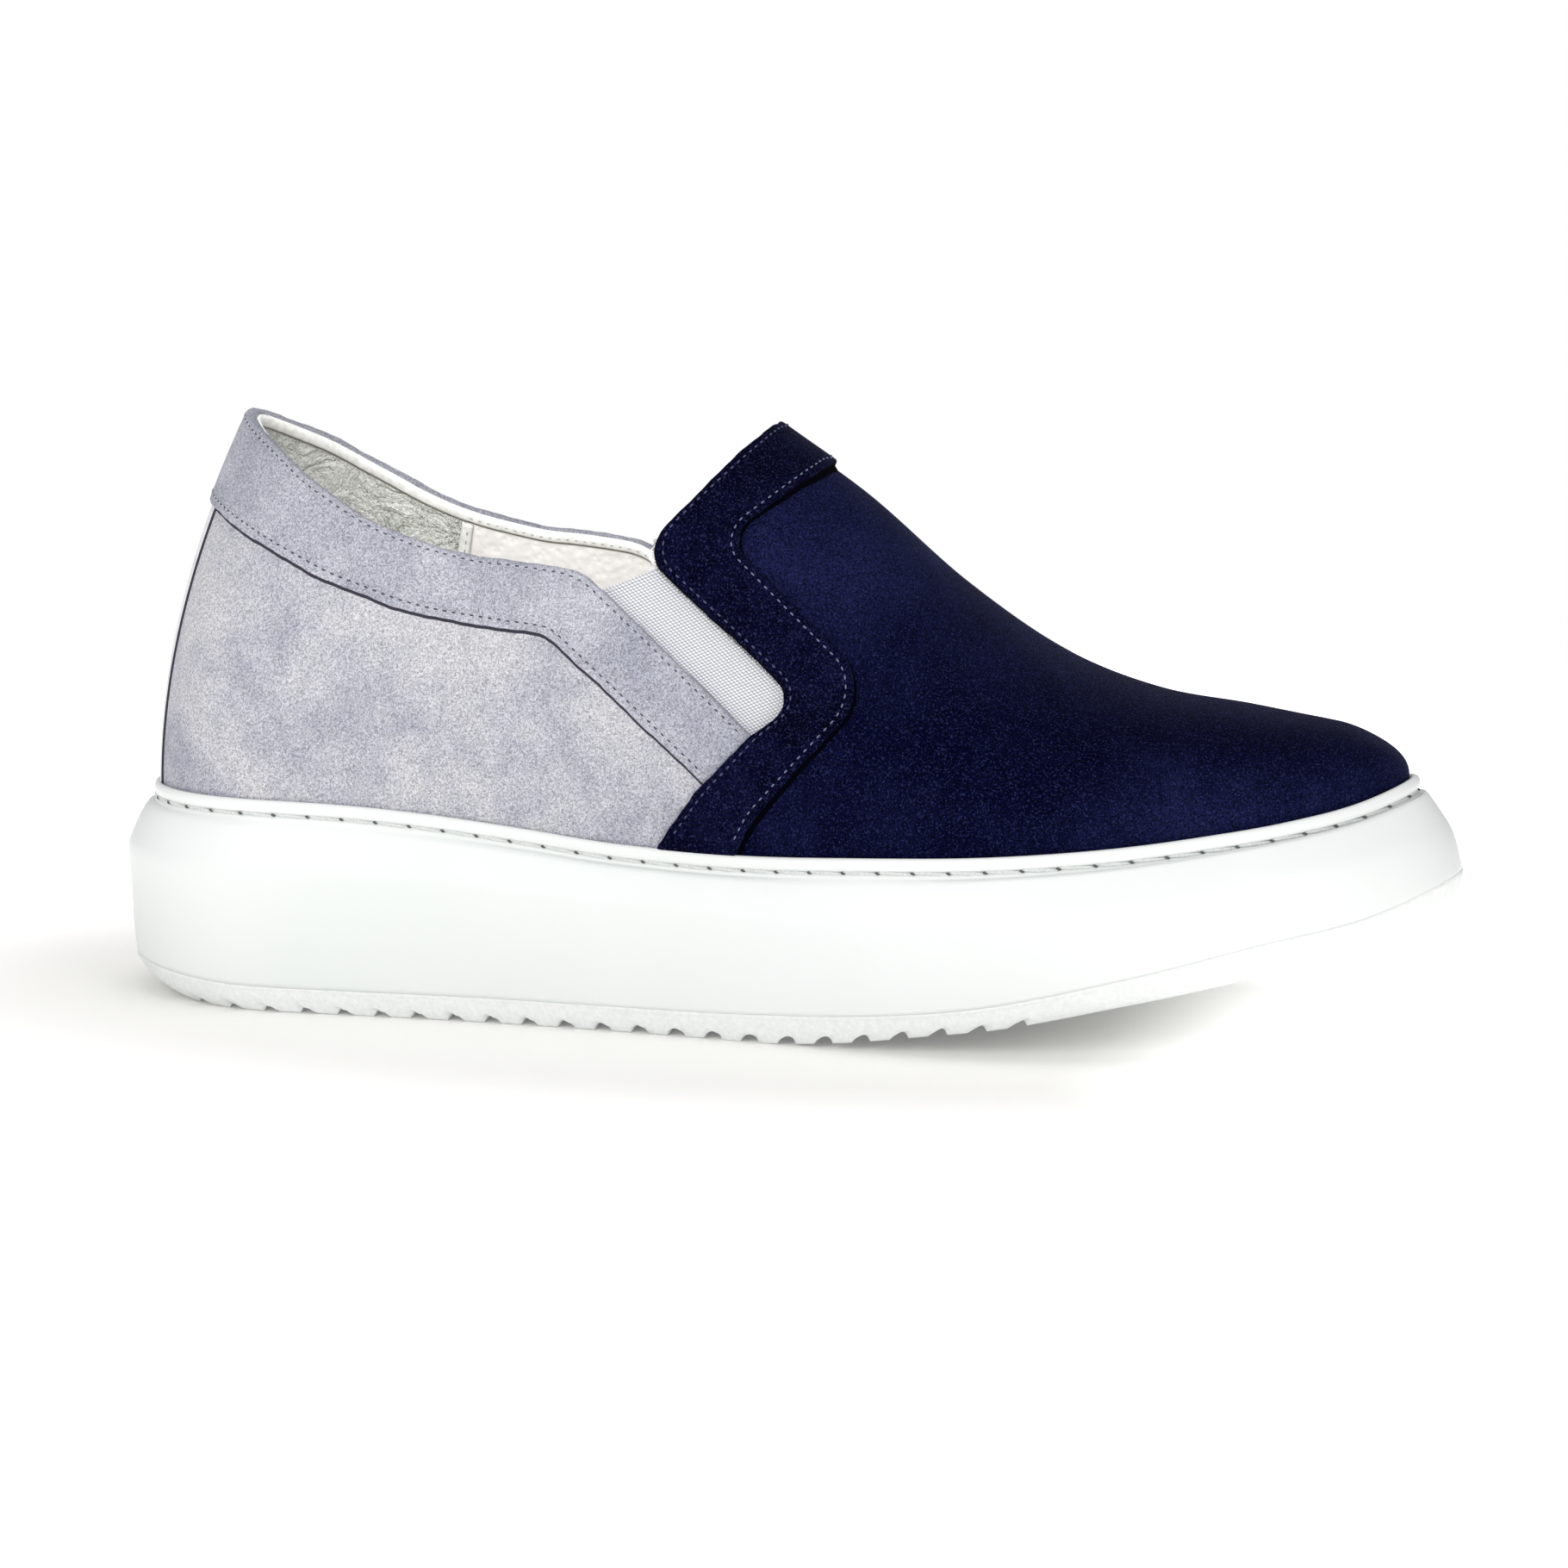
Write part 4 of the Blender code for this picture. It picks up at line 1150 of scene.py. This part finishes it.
def build_strip_fuzz(panel):
    """Loose navy fibres along the cut edge beside the elastic."""
    chance = np.random.default_rng(FIBRE_SEED)
    points, normals = panel.place(0.0009, -0.0002), panel.normals(-0.0002)
    outwards = panel.place(0.0009, -0.0012) - points
    arch = arch_of(panel.shares(0.0)[1])
    beside_gore = (arch > STRIP_FUZZ[0]) & (arch < STRIP_FUZZ[1])
    rows = []
    for side in (panel.across[0] < 1, panel.across[0] > 1):
        seen = beside_gore & side
        spots, runs, outs = sewn_points(points[seen], normals[seen], FIBRE_PITCH)
        away = np.cross(runs, outs)
        away *= np.sign((away * outwards[seen].mean(axis=0)).sum(axis=1))[:, None]
        lean_by = chance.normal(0, 0.6, (len(spots), 1))
        rise_by = chance.normal(0.1, 0.3, (len(spots), 1))
        fibre = away + runs * lean_by + outs * rise_by
        fibre /= np.linalg.norm(fibre, axis=1, keepdims=True)
        spots = spots + away * chance.uniform(0.0, 0.0005, (len(spots), 1))
        rows.append((spots, fibre, outs))
    # The fibres share the near black look of the strip's painted edge shadow.
    on_shoe(stitches("strip_edge_fuzz", rows, LOOKS["navy_edge_shadow_and_fibres"], EDGE_FIBRE), "strip_suede")


def build_quarter():
    """Grey back part, from the sole up under the band, round the heel."""
    u = 0.5 * heel_spaced(110)
    corner = BAND_FOOT_CORNERS[0][0]
    under_band = (smooth(BAND_FOOT, 1, u) + smooth(COLLAR_RIM, 1, u)) / 2
    top = np.where(u < corner, under_band, 0.60 - (u - corner) * 2.35)
    rows = []
    for s in np.linspace(0, 1, 46):
        end = QUARTER_END[0] + (QUARTER_END[1] - QUARTER_END[0]) * s
        at = u / 0.5 * end
        rows.append((at, arch_at(at, top * COLLAR_RISE * s)))
    rows.insert(0, (rows[0][0], np.full_like(u, SKIN_FOOT)))
    at, arch = (np.stack(part) for part in zip(*rows))
    grid = skin(*mirrored(at, arch, np.zeros_like(at)))
    quarter = grid_piece("quarter_suede", grid, LOOKS["grey"], out=1)
    on_shoe(thicken(quarter, SKIN_THICKNESS), "upper_suede", "upper")


def build_back_strip():
    """The pale strip up the middle of the heel, with a dark line of painted shadow along its edges."""
    half = BACK_STRIP_EDGE * np.linspace(0, 1, 20) ** 2
    outer = BACK_STRIP_EDGE + np.array([0.0, 0.0001, 0.00135, 0.00140])
    at = np.concatenate([half, outer])
    offset = np.concatenate([np.full(20, 0.0005), [0.0004, 0.0003, 0.00012, -0.0003]])
    rise = np.linspace(-0.04, 0.80, 60)
    narrow = 1 - 0.10 * np.clip(rise, 0, 1)
    at = at * narrow[:, None]
    offset = np.broadcast_to(offset, at.shape)
    arch = arch_at(at, rise[:, None] * COLLAR_RISE * np.ones_like(at))
    grid = skin(*mirrored(at, arch, offset)).swapaxes(0, 1)
    strip = grid_piece("back_strip_suede", grid, LOOKS["pale"], out=1, edge=(3, 3))
    on_shoe(thicken(strip, TRIM_THICKNESS), "upper_suede")


def build_vamp():
    """Navy front part, from under the strip to the toe."""
    arch = np.concatenate([[SKIN_FOOT], np.sin(np.linspace(0, 1, 66) * math.pi / 2)])
    start = sum(np.interp(arch, line.arch, line.u) for line in (STRIP_REAR, STRIP_FRONT)) / 2
    share = np.sin(np.linspace(0, math.pi / 2, 130))
    at = start + (1 - start) * share[:, None]
    arch = np.broadcast_to(arch, at.shape)
    grid = skin(*over_crest(at, arch, np.zeros_like(at))).swapaxes(0, 1)
    vamp = grid_piece("vamp_suede", grid, LOOKS["navy"], out=1)
    on_shoe(thicken(vamp, SKIN_THICKNESS), "upper_suede")


def build_gores():
    """Elastic gussets in the notches, lapped behind the band and the strip."""
    top_rear, top_front = (side_view(*row) for row in GORE_TOP)
    foot = side_view(*THROAT_CORNERS[0][:2])
    down = (foot - top_rear) / np.linalg.norm(foot - top_rear)
    length = np.linalg.norm(foot - top_rear) + 0.006
    ahead = (top_front - top_rear) / np.linalg.norm(top_front - top_rear)
    width = np.linalg.norm(top_front - top_rear)
    s = np.linspace(-0.004, width + 0.004, 34)
    t = np.concatenate([[0, 0.0001, 0.0003, 0.0006, 0.0009, 0.0010], np.linspace(0.0014, length, 60)])
    raise_by = np.concatenate([[-0.0002, 0.0002, 0.00035, 0.00035, 0.0002, 0.0], np.zeros(60)])
    spots = top_rear + s[None, :, None] * ahead + t[:, None, None] * down
    uv = np.stack(np.broadcast_arrays(s[None, :], t[:, None]), axis=-1)
    u, arch = shares_of(spots.reshape(-1, 2))
    u, arch = u.reshape(spots.shape[:2]), arch.reshape(spots.shape[:2])
    offset = np.broadcast_to(raise_by[:, None] - ELASTIC_IN, u.shape)
    for name, across in (("gore_lateral", arch), ("gore_medial", 2 - arch)):
        gore = grid_piece(name + "_elastic", skin(u, across, offset), LOOKS["elastic"], uv, out=1)
        on_shoe(thicken(gore, GORE_THICKNESS), "elastic", name)


def footbed_rise(u):
    """Height of the footbed over the lip."""
    climb = np.clip(1 - u * SOLE_LENGTH / LIFT_REACH, 0, 1)
    climb = climb * climb * (3 - 2 * climb)
    return -CUP_DEPTH + INSOLE_EDGE + (HEEL_LIFT - INSOLE_EDGE) * climb


# Section of the turned-in binding: rise over the rim's height, out of the upper's form
BINDING = (
    (-0.0006, -0.0009), (-0.0003, -0.0014), (-0.0004, -0.0020), (-0.0008, -0.0025),
    (-0.0015, -0.0027), (-0.0022, -0.0027), (-0.0025, -0.0026), (-0.0026, -0.0023),
    (-0.0029, -0.00225), (-0.0030, -0.0018),
)


def build_linings():
    """Heel grip suede at the back, leather in front, and the binding round the opening."""
    rim_rise = arch_rise(RIM)
    for name, first, last, look, steps in (
        ("heel_grip_lining", 0.0, LINING_SEAM, "grip", 80),
        ("front_lining", LINING_SEAM, LINING_END, "lining", 70),
    ):
        share = heel_spaced(steps) if first == 0 else np.linspace(0, 1, steps + 1)
        u = first + (last - first) * share
        top = np.interp(u, RIM.u, rim_rise)
        rows = []
        for s in np.linspace(0, 1, 44):
            rise = (top - 0.0012) * (1 - s) + (footbed_rise(u) - 0.002) * s
            rows.append((u, arch_at(u, rise), np.full_like(u, -LINING_IN)))
        at, arch, offset = (np.stack(part) for part in zip(*rows))
        if first == 0:
            lining = grid_piece(name, skin(*mirrored(at, arch, offset)), LOOKS[look], out=-1)
            on_shoe(thicken(lining, LINING_THICKNESS), "insole")
        else:
            for word, across in (("lateral", arch), ("medial", 2 - arch)):
                lining = grid_piece(f"{name}_{word}", skin(at, across, offset), LOOKS[look], out=-1)
                on_shoe(thicken(lining, LINING_THICKNESS), "insole")
    build_binding(rim_rise)
    build_seam_edges(rim_rise)


def build_binding(rim_rise):
    """Binding turned over the rim from the elastic round the heel, and its stitches in front. Its last
    rows hold a dark line of painted shadow where it ends, and its stitches are dark marks of painted
    shade.
    """
    u = 0.392 * heel_spaced(150)
    top = np.interp(u, RIM.u, rim_rise)
    rows = [(u, arch_at(u, top + rise), np.full_like(u, out)) for rise, out in BINDING]
    at, arch, offset = (np.stack(part) for part in zip(*rows))
    grid = skin(*mirrored(at, arch, offset))
    binding = grid_piece(
        "rim_binding", grid, LOOKS["edge"], out=-1, edge=(0, 2), edge_shadow_look="lining_hole_and_edge_shade"
    )
    on_shoe(thicken(binding, TRIM_THICKNESS), "insole")
    rows = []
    for side in (LATERAL, MEDIAL):
        along = np.linspace(LINING_SEAM, 0.385, 300)
        high = np.interp(along, RIM.u, rim_rise) - 0.0017
        arch = arch_at(along, high)
        across = on_side(arch, side)
        points = skin(along, across, np.full_like(along, -BINDING_STITCH_IN))
        rows.append(sewn_points(points, -normal_at(along, across), SEWN_PITCH))
    on_shoe(stitches("binding_stitches", rows, LOOKS["lining_hole_and_edge_shade"], BINDING_HOLE), "insole")


# Section of the turned edge at the lining's seam: ahead of the seam, out of the upper's form
SEAM_EDGE = (
    (-0.0004, -0.0020), (-0.0003, -0.0028), (0.0003, -0.0032), (0.0020, -0.0033), (0.0026, -0.0031),
    (0.0028, -0.0025),
)


def build_seam_edges(rim_rise):
    """Turned edges where the leather lining meets the heel grip, and their stitches, drawn as dark marks
    of painted shade.
    """
    stitch_rows = []
    for side, word in ((LATERAL, "lateral"), (MEDIAL, "medial")):
        rows = []
        for ahead, out in SEAM_EDGE:
            u = np.full(60, LINING_SEAM + ahead / REACH)
            top = np.interp(u, RIM.u, rim_rise) - 0.0030
            rise = top + (footbed_rise(u) - 0.001 - top) * np.linspace(0, 1, 60)
            arch = arch_at(u, rise)
            rows.append(skin(u, on_side(arch, side), np.full(60, out)))
        seam = grid_piece(f"lining_seam_{word}", np.stack(rows), LOOKS["edge"], out=-1)
        on_shoe(thicken(seam, TRIM_THICKNESS), "insole")
        u = np.full(200, LINING_SEAM + 0.0016 / REACH)
        top = np.interp(u, RIM.u, rim_rise) - 0.0036
        arch = arch_at(u, top + (footbed_rise(u) - top) * np.linspace(0, 1, 200))
        across = on_side(arch, side)
        points = skin(u, across, np.full(200, -SEAM_STITCH_IN))
        stitch_rows.append(sewn_points(points, -normal_at(u, across), SEWN_PITCH))
    on_shoe(stitches("lining_seam_stitches", stitch_rows, LOOKS["lining_hole_and_edge_shade"], SEAM_HOLE), "insole")


def arch_rise(line):
    """Height over the lip along a line."""
    return form_at(line.u, line.arch)[:, 2] - height("lip", line.u)


# Section of the roll at the throat's edge: ahead of the edge, out of the upper's form
THROAT_ROLL = (
    (0.0004, -0.0002), (0.0, -0.0006), (-0.0002, -0.0012), (0.0, -0.0018), (0.0006, -0.0022),
)


def build_throat_lining():
    """Leather lining of the vamp, rolled at the throat's edge and running to the toe."""
    arch = np.linspace(0, 1, 60)
    start = np.interp(arch, THROAT.arch, THROAT.u)
    free_from = shares_of(side_view(*GORE_TOP[1])[None])[1][0]
    free = step_up(arch, free_from, free_from + 0.04)
    start = start - (1 - free) * 0.012
    share = np.sin(np.linspace(0, math.pi / 2, 70))
    deep = np.full_like(arch, -THROAT_LINING_IN)
    columns = [(start + d / 0.28, deep + (o - deep) * free) for d, o in THROAT_ROLL]
    columns += [(start + 0.003 + (0.985 - start - 0.003) * s, deep) for s in share]
    at, offset = (np.stack(part) for part in zip(*columns))
    arch = np.broadcast_to(arch, at.shape)
    grid = skin(*over_crest(at, arch, offset)).swapaxes(0, 1)
    lining = grid_piece("vamp_lining", grid, LOOKS["lining"], out=-1)
    on_shoe(thicken(lining, LINING_THICKNESS), "insole")


def build_footbed():
    """Leather covered footbed, dished across, and its edge down to the board."""
    u = 0.002 + 0.985 * end_spaced(120)
    inner = arch_at(u, footbed_rise(u))
    wall = np.full_like(u, -UPPER_WALL - 0.0012)
    lateral, medial = skin(u, inner, wall), skin(u, 2 - inner, wall)
    rows = [lateral - [0, 0, 0.004]]
    for s in end_spaced(28):
        row = lateral * (1 - s) + medial * s
        edge = (2 * s - 1) ** 4
        row[:, 2] += 0.0009 * edge - 0.0006 * (1 - edge)
        rows.append(row)
    rows.append(medial - [0, 0, 0.004])
    footbed = grid_piece("footbed_leather", np.stack(rows)[:, ::-1], LOOKS["footbed"])
    on_shoe(thicken(footbed, FOOTBED_THICKNESS), "insole", "insole")


def lip_insets(out):
    """Insets of a line that lies so far out of the upper's foot."""
    return [edge - out * share for edge, share in zip(LEDGE, LIP_SHARES)]


def sole_rings(u):
    """Rings of the cup's wall from the seam up to the lip and down inside it."""
    rings = []
    for lower, upper, share, back, side, front in SOLE_WALL:
        z = height(lower, u) * (1 - share) + height(upper, u) * share
        insets = (back * LEDGE_BACK, side * LEDGE_SIDE, front * LEDGE_FRONT)
        rings.append(contour(u, *insets, z))
    for depth, out in SOLE_LIP:
        rings.append(contour(u, *lip_insets(out), height("lip", u) - depth))
    return rings


def closed_ring(ring):
    """A ring's lateral points heel to toe, then its medial points toe to heel."""
    lateral, medial = ring
    return np.concatenate([lateral, medial[::-1][1:]])


# The cup's inner floor, which the footbed hides: in from the ledge, and under the lip
WELL_FLOOR_IN = 0.02
WELL_FLOOR_DEPTH = 0.006


def build_midsole():
    """The white cup, and the thread that runs round under its top edge."""
    u = end_spaced(230)
    rings = sole_rings(u)
    floor = contour(u, *[edge + WELL_FLOOR_IN for edge in LEDGE], height("lip", u) - WELL_FLOOR_DEPTH)
    lateral, medial = rings[0]
    under = (lateral * 0.5 + medial * 0.5, lateral * 0.5 + medial * 0.5)
    grid = np.stack([closed_ring(ring) for ring in [under] + rings + [floor]])
    midsole = grid_piece("midsole_rubber", grid, LOOKS["rubber"])
    on_shoe(midsole, "midsole", "midsole")
    build_sole_stitches()


def build_sole_stitches():
    """Long pale threads, greyed a little as painted shade, in the groove under the lip, and a needle hole
    between each two, a dark mark of painted shade.
    """
    u = end_spaced(900)
    z = height("lip", u) - STITCH_DEPTH
    row = closed_ring(contour(u, *lip_insets(STITCH_OUT), z))
    inner = closed_ring(contour(u, *[edge + 0.01 for edge in LEDGE], z))
    outs = row - inner
    outs /= np.linalg.norm(outs, axis=1, keepdims=True)
    threads = sewn_points(row, outs, SOLE_PITCH)
    made = stitches("sole_stitches", [threads], LOOKS["thread_sole_with_shade"], SOLE_THREAD, slant=-0.06)
    on_shoe(made, "midsole")
    spots, runs, outs = threads
    holes = (spots + runs * SOLE_PITCH / 2 + outs * 0.0001, runs, outs)
    made = stitches("sole_needle_holes", [holes], LOOKS["hole"], SOLE_HOLE, slant=-0.3)
    on_shoe(made, "midsole")


GROOVE_STEPS = np.linspace(0, 1, 9)


def build_outsole():
    """The tread sheet, with rounded grooves cut through to both side edges."""
    reach = SOLE_LENGTH - ROLL_BACK - ROLL_FRONT
    starts = (TREAD_START + np.arange(0, TREAD_LENGTH, TREAD_PITCH)) / reach
    width = TREAD_GROOVE_WIDTH / reach
    marks = (starts[:, None] + width * GROOVE_STEPS[None, :]).ravel()
    even = end_spaced(230)
    even = even[np.abs(even[:, None] - marks[None, :]).min(axis=1) > width / 16]
    u = np.sort(np.concatenate([even, marks]))
    depth = np.zeros_like(u)
    for start in starts:
        inside = np.clip((u - start) / width, 0, 1)
        depth += np.sin(inside * math.pi) ** 0.55
    depth *= TREAD_GROOVE_DEPTH
    tread, seam = height("tread", u), height("seam", u)
    rings = []
    for share, back, side, front in OUTSOLE_WALL:
        z = np.maximum(tread + (seam - tread) * share, tread + depth)
        insets = (back * ROLL_BACK, side * ROLL_SIDE, front * ROLL_FRONT)
        rings.append(contour(u, *insets, z))
    inner = []
    for share in (0.0, 0.35, 0.7, 0.94):
        lateral, medial = rings[0]
        middle = (lateral + medial) / 2
        inner.append((middle + (lateral - middle) * share, middle + (medial - middle) * share))
    lateral, medial = rings[-1]
    middle = (lateral + medial) / 2
    grid = np.stack([closed_ring(ring) for ring in inner + rings + [(middle, middle)]])
    outsole = grid_piece("outsole_rubber", grid, LOOKS["tread"], sharp=50)
    on_shoe(outsole, "outsole", "outsole")


# Floor, light and camera
CAMERA_AZIMUTH = math.radians(13.0)
CAMERA_ELEVATION = math.radians(8.5)
CAMERA_DISTANCE = 1.4
CAMERA_TARGET = Vector((0.0, -0.0172, 0.060))
SENSOR = 36.0
IMAGE_SIZE = 1820
METRES_PER_PIXEL = 0.0001876
TARGET_PIXEL = (885.3, 869.2)
FLOOR_RADIUS = 0.60
FLOOR_Z = -0.0001
FLOOR_COLOUR = (0.90, 0.89, 0.865, 1.0)
FLOOR_GLOW = 0.08
FLOOR_OVAL = (1.0, 1.7, 1.0)
# Where the floor starts to glow, where it glows fully, and how much: the glow is painted light that
# lightens the shoe's shadow round the shoe and ahead of the toe
GLOW_AROUND = (0.14, 0.36, 1.0)
GLOW_AHEAD = (0.070, 0.122, 0.55)
DOME_LOW = 0.17
DOME_HIGH = 0.60
# Lamps: name, place, size, power
LAMPS = (
    ("key", (-0.45, -1.45, 0.75), 0.9, 11.2),
    ("fill", (0.95, -1.0, 0.45), 0.8, 4.2),
    ("top", (-0.1, 0.10, 1.5), 0.8, 4.5),
)
INSIDE_LAMP = ("inside", (0.0, -0.9, 1.0), 0.5, 10.5)


def build_stage():
    """White disc whose painted glow fades it into the white round it and lightens the shoe's shadow, a
    soft dome and soft lights.
    """
    mesh = bpy.data.meshes.new("floor")
    turns = np.linspace(0, 2 * math.pi, 97)[:-1]
    ring = np.stack([np.cos(turns), np.sin(turns), np.zeros_like(turns)], axis=1) * FLOOR_RADIUS
    ring[:, 2] = FLOOR_Z
    mesh.from_pydata(ring.tolist(), [], [list(range(96))])
    floor = placed("floor", mesh)
    made = Finish("pale_floor", FLOOR_COLOUR, 0.85, 0.1)
    oval = made.node("ShaderNodeVectorMath", operation="MULTIPLY")
    oval.inputs[1].default_value = FLOOR_OVAL
    made.link(made.place, oval.inputs[0])
    away = made.node("ShaderNodeVectorMath", operation="LENGTH")
    made.link(oval.outputs["Vector"], away.inputs[0])
    around = made.span(away.outputs["Value"], *GLOW_AROUND)
    ahead = made.span(made.axes(made.place)["X"], *GLOW_AHEAD)
    light = made.maths("ADD", made.maths("MAXIMUM", around, ahead), FLOOR_GLOW)
    mesh.materials.append(made.set(Emission_Color=(1.0, 1.0, 1.0, 1.0), Emission_Strength=light))
    build_world()
    for lamp in LAMPS:
        add_light(*lamp)
    light_the_linings()


def build_world():
    """Plain white under the horizon, softer light over it."""
    world = bpy.data.worlds.new("studio")
    world.use_nodes = True
    tree = world.node_tree
    add, link = tree.nodes.new, tree.links.new
    background = tree.nodes["Background"]
    background.inputs["Color"].default_value = (1.0, 1.0, 1.0, 1.0)
    place = add("ShaderNodeTexCoord")
    parts = add("ShaderNodeSeparateXYZ")
    link(place.outputs["Generated"], parts.inputs["Vector"])
    level = add("ShaderNodeMapRange")
    level.inputs["To Min"].default_value = DOME_LOW
    level.inputs["To Max"].default_value = DOME_HIGH
    link(parts.outputs["Z"], level.inputs["Value"])
    under = add("ShaderNodeMath")
    under.operation = "LESS_THAN"
    under.inputs[1].default_value = 0.0
    link(parts.outputs["Z"], under.inputs[0])
    whole = add("ShaderNodeMath")
    whole.operation = "MAXIMUM"
    link(level.outputs["Result"], whole.inputs[0])
    link(under.outputs["Value"], whole.inputs[1])
    link(whole.outputs["Value"], background.inputs["Strength"])
    bpy.context.scene.world = world


def light_the_linings():
    """A soft light that reaches only the inside of the shoe, where the photo is nearly white."""
    inside = bpy.data.collections.new("inside_of_the_shoe")
    bpy.context.scene.collection.children.link(inside)
    words = ("lining", "binding", "footbed")
    for piece in bpy.context.scene.collection.objects:
        if piece.type == "MESH" and any(word in piece.name for word in words):
            inside.objects.link(piece)
    lamp = add_light(*INSIDE_LAMP)
    lamp.light_linking.receiver_collection = inside


def add_light(name, place, size, power):
    light = bpy.data.lights.new(name, "AREA")
    light.size = size
    light.energy = power
    made = placed(name, light)
    made.location = place
    aim = Vector((0.0, 0.0, 0.05)) - Vector(place)
    made.rotation_euler = aim.to_track_quat("-Z", "Y").to_euler()
    return made


def build_camera():
    camera = bpy.data.cameras.new("camera")
    camera.sensor_width = SENSOR
    camera.lens = SENSOR * CAMERA_DISTANCE / (IMAGE_SIZE * METRES_PER_PIXEL)
    camera.shift_x = (IMAGE_SIZE / 2 - TARGET_PIXEL[0]) / IMAGE_SIZE
    camera.shift_y = (TARGET_PIXEL[1] - IMAGE_SIZE / 2) / IMAGE_SIZE
    camera.clip_start = 0.05
    back = Vector(
        (
            math.sin(CAMERA_AZIMUTH) * math.cos(CAMERA_ELEVATION),
            -math.cos(CAMERA_AZIMUTH) * math.cos(CAMERA_ELEVATION),
            math.sin(CAMERA_ELEVATION),
        )
    )
    made = placed("camera", camera)
    made.location = CAMERA_TARGET + back * CAMERA_DISTANCE
    made.rotation_mode = "QUATERNION"
    made.rotation_quaternion = (-back).to_track_quat("-Z", "Y")
    bpy.context.scene.camera = made


def main():
    for old in [o for o in bpy.data.objects if o.name in ("Cube", "Light", "Camera")]:
        bpy.data.objects.remove(old)
    for build in (
        build_outsole, build_midsole, build_footbed, build_quarter, build_back_strip, build_vamp,
        build_gores, build_linings, build_throat_lining, build_band, build_strip, build_stage,
        build_camera,
    ):
        build()
    bpy.context.scene.view_settings.view_transform = "Standard"
    bpy.context.view_layer.update()


main()
